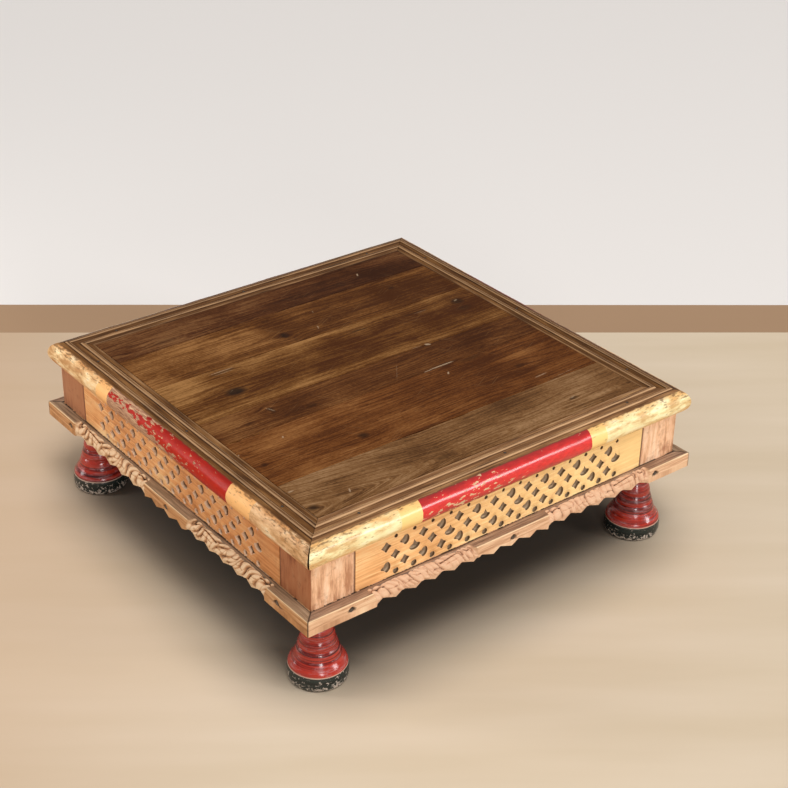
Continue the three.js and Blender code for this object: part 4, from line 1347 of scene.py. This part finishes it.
def carved_wood(name, tones, blush, ridge_highlight, dirt, ledge_tones, seed):
    material, tree, shader = new_material(name)
    kept = [add(tree, "Attribute", output="Vector", attribute_name=attribute)
            for attribute in ("place", "wear", "cut")]
    (along, path, top_share), (height, worn, stain), (carved, at_mitre, _) = (
        add(tree, "SeparateXYZ", [values]).node.outputs for values in kept)
    flat = add(tree, "CombineXYZ", [along, path, seed])
    drawn = add(tree, "VectorMath", [flat, repeats(*STRIP_LINE_MM) + [1]], operation="MULTIPLY")
    lines = add(tree, "TexNoise", {"Vector": drawn, "Scale": 1, "Detail": 5, "Roughness": 0.65})
    blots = add(tree, "TexNoise", {"Vector": flat, "Scale": repeats(BLOT_MM), "Detail": 5,
                                   "Roughness": 0.65})
    wood = add(tree, "ValToRGB", [lines], stops=zip(EVEN_TONES, tones))
    dust = add(tree, "ValToRGB", [lines], stops=zip(EVEN_TONES, ledge_tones))
    pinker = add(tree, "Math", [blots, carved], operation="MULTIPLY")
    # Ridges: rubbed pale, and lightened further as a painted highlight
    high = add(tree, "MapRange", [height, -1.6, -0.6, 0, 0.7])
    high = add(tree, "Math", [high, carved], operation="MULTIPLY")
    # Deep cuts darken: dirt, and painted shade in the recess
    held = add(tree, "MapRange", [height, -1.6, -3.7, 0, 0.92])
    specks = add(tree, "MapRange", [blots, 0.36, 0.30, 0, 0.5])
    # A pale line along the plain moulding's eased edge: wear and a painted highlight
    worn_edge_highlight = add(tree, "Math", [worn, 0.6], operation="MULTIPLY")
    # Painted shade: a dark line along the ledge's inner edge, where the moulding meets the board
    inner = add(tree, "MapRange", [path, 1.9 * MM, 3.4 * MM, 0.9, 0])
    rust = add(tree, "Math", [blots, 0.6, stain], operation="MULTIPLY_ADD")
    rust = add(tree, "MapRange", [rust, 0.85, 1.15, 0, 0.9])
    mitred = add(tree, "Math", [at_mitre, 0.85], operation="MULTIPLY")
    for cover, colour in (
            (pinker, linear(blush)), (high, linear(ridge_highlight)), (held, linear(dirt)),
            (specks, linear("#94613c")), (worn_edge_highlight, linear("#f6dcae")), (top_share, dust),
            (inner, linear("#281a10")), (rust, linear("#2c1f16")), (mitred, linear("#2a1a10"))):
        wood = add(tree, "Mix", {0: cover, 6: wood, 7: colour}, **COLOUR)
    bump = add(tree, "Bump", {"Height": lines, "Strength": 0.35, "Distance": 0.4 * MM})
    connect(tree, shader, {"Base Color": wood, "Roughness": 0.62, "Specular IOR Level": 0.35,
                           "Normal": bump})
    return material


# Tones, blush, ridges with their painted highlight, dirt with painted shade in the cuts, ledge
# tones, seed
front_strip = carved_wood("moulding_teak_front", ("#a67652", "#d7a983", "#eecda6"), "#c08c6e",
                          "#ddb491", "#452817", ("#5a4132", "#906e56", "#c09e80"), 5.0)
# The side mouldings' tones are darker, partly as painted shade of the table's shaded sides
side_strip_shaded = carved_wood("moulding_teak_side_shaded", ("#82502c", "#bc8552", "#ddb082"), "#b07e58",
                         "#ebcca4", "#3a2212", ("#584330", "#8c6e52", "#b09274"), 9.0)
STRIP_WOODS = dict(zip(QUARTERS, (front_strip, side_strip_shaded) * 2))
print("moulding faces:", [make_skirt(side, STRIP_WOODS[side]) for side in QUARTERS])

# %% [markdown]
# The feet were turned on a lathe and lacquered while they spun, by pressing a stick of coloured
# shellac against the wood: that melts on as glossy rings. The profile is spun round the foot's
# axis. Red runs down to the widest part, and the base is black-green, chipped where it has been
# kicked.

# %% The four feet
FOOT_RADIUS = (foot_high.x - foot_low.x) / 2
FOOT_HEIGHT = post_low.z
FOOT_SPIN_STEPS = 96
# The profile from the floor up: out and up, as shares of the radius and of the height
FOOT_PROFILE = [
    (0.0, 0.0), (0.87, 0.0), (0.9, 0.003), (0.935, 0.01), (0.965, 0.022), (0.985, 0.042),
    (0.996, 0.065),
    (1.0, 0.09), (1.0, 0.142), (0.996, 0.165), (0.985, 0.189), (0.973, 0.2), (0.968, 0.207),
    (0.966, 0.215), (0.952, 0.231), (0.915, 0.256), (0.868, 0.28), (0.822, 0.303), (0.782, 0.327),
    (0.758, 0.347), (0.742, 0.356), (0.738, 0.368), (0.722, 0.385), (0.7, 0.412), (0.676, 0.432),
    (0.655, 0.444), (0.636, 0.45), (0.634, 0.456), (0.65, 0.463), (0.648, 0.475), (0.628, 0.497),
    (0.606, 0.519), (0.585, 0.54), (0.562, 0.56), (0.54, 0.572), (0.527, 0.58), (0.54, 0.59),
    (0.552, 0.602), (0.545, 0.62), (0.521, 0.645), (0.475, 0.69), (0.43, 0.725), (0.4, 0.755),
    (0.384, 0.788), (0.384, 0.815), (0.396, 0.842), (0.43, 0.867), (0.49, 0.89), (0.56, 0.908),
    (0.612, 0.922), (0.632, 0.94), (0.628, 0.962), (0.612, 0.98), (0.6, 1.0), (0.0, 1.0),
]
LACQUER_CHANGE = 21.5 * MM


def make_foot(corner, material):
    low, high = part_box(f"foot_{corner}")
    centre = (low + high) / 2
    bm = bmesh.new()
    profile = [bm.verts.new((across * FOOT_RADIUS, 0, up_share * FOOT_HEIGHT))
               for across, up_share in FOOT_PROFILE]
    edges = [bm.edges.new(pair) for pair in zip(profile, profile[1:])]
    bmesh.ops.spin(bm, geom=profile + edges, axis=(0, 0, 1), cent=(0, 0, 0), angle=2 * math.pi,
                   steps=FOOT_SPIN_STEPS, use_merge=True)
    bmesh.ops.remove_doubles(bm, verts=bm.verts, dist=MERGE_GAP)
    bmesh.ops.recalc_face_normals(bm, faces=bm.faces)
    bm.transform(Matrix.Translation((centre.x, centre.y, 0)))
    return finish_piece(f"turned_foot_{corner}", bm, material, "foot_lacquer", f"foot_{corner}",
                        crisp=math.radians(60))


# %% [markdown]
# Turned lacquer is shiny, with rings that differ a little in colour. Rings follow the height
# alone. At the change from red to black the lacquer was scraped to a pale line.


# %% Lacquer
RING_ROUND_MM, RING_UP_MM = 166.7, 3.0303
RUB_ROUND_MM, RUB_UP_MM = 16.67, 3.125
LACQUER_CHIP_MM = 4.1667


def lacquer_material():
    material, tree, shader = new_material("turned_lacquer")
    place = add(tree, "TexCoord", output="Object")
    level = add(tree, "SeparateXYZ", [place], output=2)
    patterns = []
    for round_mm, up_mm in ((RING_ROUND_MM, RING_UP_MM), (RUB_ROUND_MM, RUB_UP_MM)):
        scale = repeats(round_mm, round_mm, up_mm)
        drawn = add(tree, "VectorMath", [place, scale], operation="MULTIPLY")
        patterns.append(add(tree, "TexNoise", {"Vector": drawn, "Scale": 1, "Detail": 4,
                                               "Roughness": 0.65}))
    rings, rubs = patterns
    chips = add(tree, "TexNoise", {"Vector": place, "Scale": repeats(LACQUER_CHIP_MM), "Detail": 4,
                                   "Roughness": 0.7})
    red = add(tree, "ValToRGB", [rings],
              stops=[(0.3, "#2a0c10"), (0.42, "#741d18"), (0.55, "#b43424"), (0.68, "#8c2822"),
                     (0.8, "#44171b")])
    bloom = add(tree, "MapRange", [rubs, 0.5, 0.7, 0, 0.6])
    chipped = add(tree, "MapRange", [chips, 0.70, 0.74, 0, 0.7])
    for cover, colour in ((bloom, "#a8787a"), (chipped, "#caa58a")):
        red = add(tree, "Mix", {0: cover, 6: red, 7: linear(colour)}, **COLOUR)
    black = add(tree, "ValToRGB", [rings], stops=[(0.35, "#0c100e"), (0.65, "#222b27")])
    low_down = add(tree, "MapRange", [level, 2 * MM, 17 * MM, 0.1, -0.04])
    kicked = add(tree, "Math", [chips, low_down], operation="ADD")
    kicked = add(tree, "MapRange", [kicked, 0.56, 0.61, 0, 0.85])
    black = add(tree, "Mix", {0: kicked, 6: black, 7: linear("#c2b2a4")}, **COLOUR)
    wandering = add(tree, "Math", [rubs, 1.6 * MM, level], operation="MULTIPLY_ADD")
    is_red = add(tree, "MapRange", [wandering, LACQUER_CHANGE, LACQUER_CHANGE + 1 * MM, 0, 1])
    scraped = add(tree, "Math", [wandering, LACQUER_CHANGE + 0.6 * MM], operation="SUBTRACT")
    scraped = add(tree, "Math", [scraped], operation="ABSOLUTE")
    scraped = add(tree, "MapRange", [scraped, 0.3 * MM, 0.9 * MM, 0.8, 0])
    coat = add(tree, "Mix", {0: is_red, 6: black, 7: red}, **COLOUR)
    coat = add(tree, "Mix", {0: scraped, 6: coat, 7: linear("#c4a592")}, **COLOUR)
    gloss = add(tree, "MapRange", [rubs, 0.4, 0.75, 0.13, 0.34])
    relief = add(tree, "Math", [kicked, -0.5, rings], operation="MULTIPLY_ADD")
    bump = add(tree, "Bump", {"Height": relief, "Strength": 0.35, "Distance": 0.5 * MM})
    connect(tree, shader, {"Base Color": coat, "Roughness": gloss, "Normal": bump})
    return material


lacquer = lacquer_material()
print("foot faces:", [make_foot(corner, lacquer) for corner in CORNERS])

# %% [markdown]
# The nails and the battens keep their CAD shape, which is right already, and only get a finish:
# dark iron with a trace of rust, and sawn softwood that no one was meant to see.


# %% Iron and sawn wood
RUST_MM = 1.4286


def iron_material():
    material, tree, shader = new_material("wrought_iron_nail")
    place = add(tree, "TexCoord", output="Object")
    rust = add(tree, "TexNoise", {"Vector": place, "Scale": repeats(RUST_MM), "Detail": 3})
    iron = add(tree, "ValToRGB", [rust], stops=[(0.4, "#6e6964"), (0.65, "#4a3426")])
    connect(tree, shader, {"Base Color": iron, "Metallic": 0.8, "Roughness": 0.36})
    return material


iron = iron_material()
sawn_wood = dry_wood("sawn_batten", ("#84603e", "#a98258", "#c6a278"), "y", seed=6.0, roughness=0.8)
kept_as_they_are = {"nail": iron, "batten": sawn_wood}
for node_name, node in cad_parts.items():
    kind = "nail" if "_nail_" in node_name else node_name.split("_")[0]
    if kind in kept_as_they_are:
        node.data.materials.clear()
        node.data.materials.append(kept_as_they_are[kind])
print("nails:", sum("_nail_" in node_name for node_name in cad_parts))

# %% [markdown]
# The table stands on a plain floor, painted darker and warmer toward the left as shade, that ends
# behind it at a wooden border and a pale wall. All three are colours on one plane, so nothing
# stands in the light.
# Under the table a shadow is painted on the floor, dark with a soft edge, as it is in the
# photograph.

# %% Floor
FLOOR_HALF = 60.0
FLOOR_BOARD_MM = (500, 71.43)
SHADE_HALF = 0.2
SHADE_EDGE = (0.2, 0.02)
LEFT_SHADE_SPAN = (-0.1, -0.85)
WALL_TURN = math.radians(35.8)
TRIM_START = 0.511
WALL_START = 0.613


def floor_material():
    material, tree, shader = new_material("pale_floor")
    place = add(tree, "TexCoord", output="Object")
    drawn = add(tree, "VectorRotate", {"Vector": place, "Angle": WALL_TURN})
    rightward, distance, _ = add(tree, "SeparateXYZ", [drawn]).node.outputs
    boards = add(tree, "VectorMath", [drawn, repeats(*FLOOR_BOARD_MM) + [1]], operation="MULTIPLY")
    boards = add(tree, "TexNoise", {"Vector": boards, "Scale": 1, "Detail": 3})
    floor = add(tree, "ValToRGB", [boards], stops=[(0.3, "#d1bda1"), (0.7, "#d9c6ad")])
    # Painted shade: the floor grows darker and warmer toward the left
    painted_left_shade = add(tree, "MapRange", [rightward, *LEFT_SHADE_SPAN, 0, 0.9])
    beside = add(tree, "VectorMath", [place], operation="ABSOLUTE")
    beside = add(tree, "VectorMath", [beside, (SHADE_HALF, SHADE_HALF, 0)], operation="SUBTRACT")
    beside = add(tree, "VectorMath", [beside, (0, 0, 0)], operation="MAXIMUM")
    beside = add(tree, "VectorMath", [beside], output="Value", operation="LENGTH")
    # Painted shadow: dark under the table, with a soft edge
    under = add(tree, "MapRange", [beside, *SHADE_EDGE, 0, 0.93], interpolation_type="SMOOTHSTEP")
    trim = add(tree, "Math", [distance, TRIM_START], operation="GREATER_THAN")
    wall = add(tree, "Math", [distance, WALL_START], operation="GREATER_THAN")
    for cover, colour in ((painted_left_shade, "#b08a68"), (under, "#2e2822"), (trim, "#a48364"),
                          (wall, "#e9e3de")):
        floor = add(tree, "Mix", {0: cover, 6: floor, 7: linear(colour)}, **COLOUR)
    connect(tree, shader, {"Base Color": floor, "Roughness": 0.8})
    return material


def make_floor():
    bm = bmesh.new()
    bmesh.ops.create_grid(bm, x_segments=1, y_segments=1, size=FLOOR_HALF)
    mesh = bpy.data.meshes.new("floor")
    bm.to_mesh(mesh)
    bm.free()
    mesh.materials.append(floor_material())
    floor = bpy.data.objects.new("floor", mesh)
    bpy.context.collection.objects.link(floor)


make_floor()
print("floor half", FLOOR_HALF, "m")

# %% [markdown]
# A high, soft sun from the front lights the top and the front side. Two small lamps far in front
# draw the highlights on paint and lacquer, and a weak one fills the left side. The sky is grey,
# and pale only at the horizon, where the floor ends.


# %% Light
def make_light(name, kind, place, aim, energy, **settings):
    """A sun shines from its place toward its aim too, but from far away."""
    data = bpy.data.lights.new(name, kind)
    data.energy = energy
    for setting, value in settings.items():
        setattr(data, setting, value)
    light = bpy.data.objects.new(name, data)
    bpy.context.collection.objects.link(light)
    away = Vector(place) - Vector(aim)
    turn = away.to_track_quat("Z", "Y").to_matrix().to_4x4()
    light.matrix_world = Matrix.Translation(place) @ turn


make_light("overhead", "SUN", (-0.1, -0.42, 1.0), (0, 0, 0), 1.62, angle=0.42)
for name, place, aim, power, width, height in (
        ("front", (-1.95, -4.5, 1.27), (0, -0.3, 0.12), 56, 0.9, 0.9),
        ("front_right", (2.4, -3.85, 1.65), (0, -0.3, 0.15), 60, 1.2, 0.9),
        ("left", (-1.25, 0.85, 0.75), (-0.3, 0.1, 0.1), 8, 0.3, 1.0)):
    make_light(name, "AREA", place, aim, power, shape="RECTANGLE", size=width, size_y=height)

world = bpy.data.worlds.new("sky")
world.use_nodes = True
sky = world.node_tree
upward = add(sky, "SeparateXYZ", [add(sky, "TexCoord")], output=2)
paleness = add(sky, "ValToRGB", [upward],
               stops=[(0.0, "#f6f1ed"), (0.03, "#f6f1ed"), (0.12, "#6c6c6c"), (1.0, "#bfbfbf")])
connect(sky, sky.nodes["Background"], {"Color": paleness})
bpy.context.scene.world = world
print("lights:", len(bpy.data.lights))
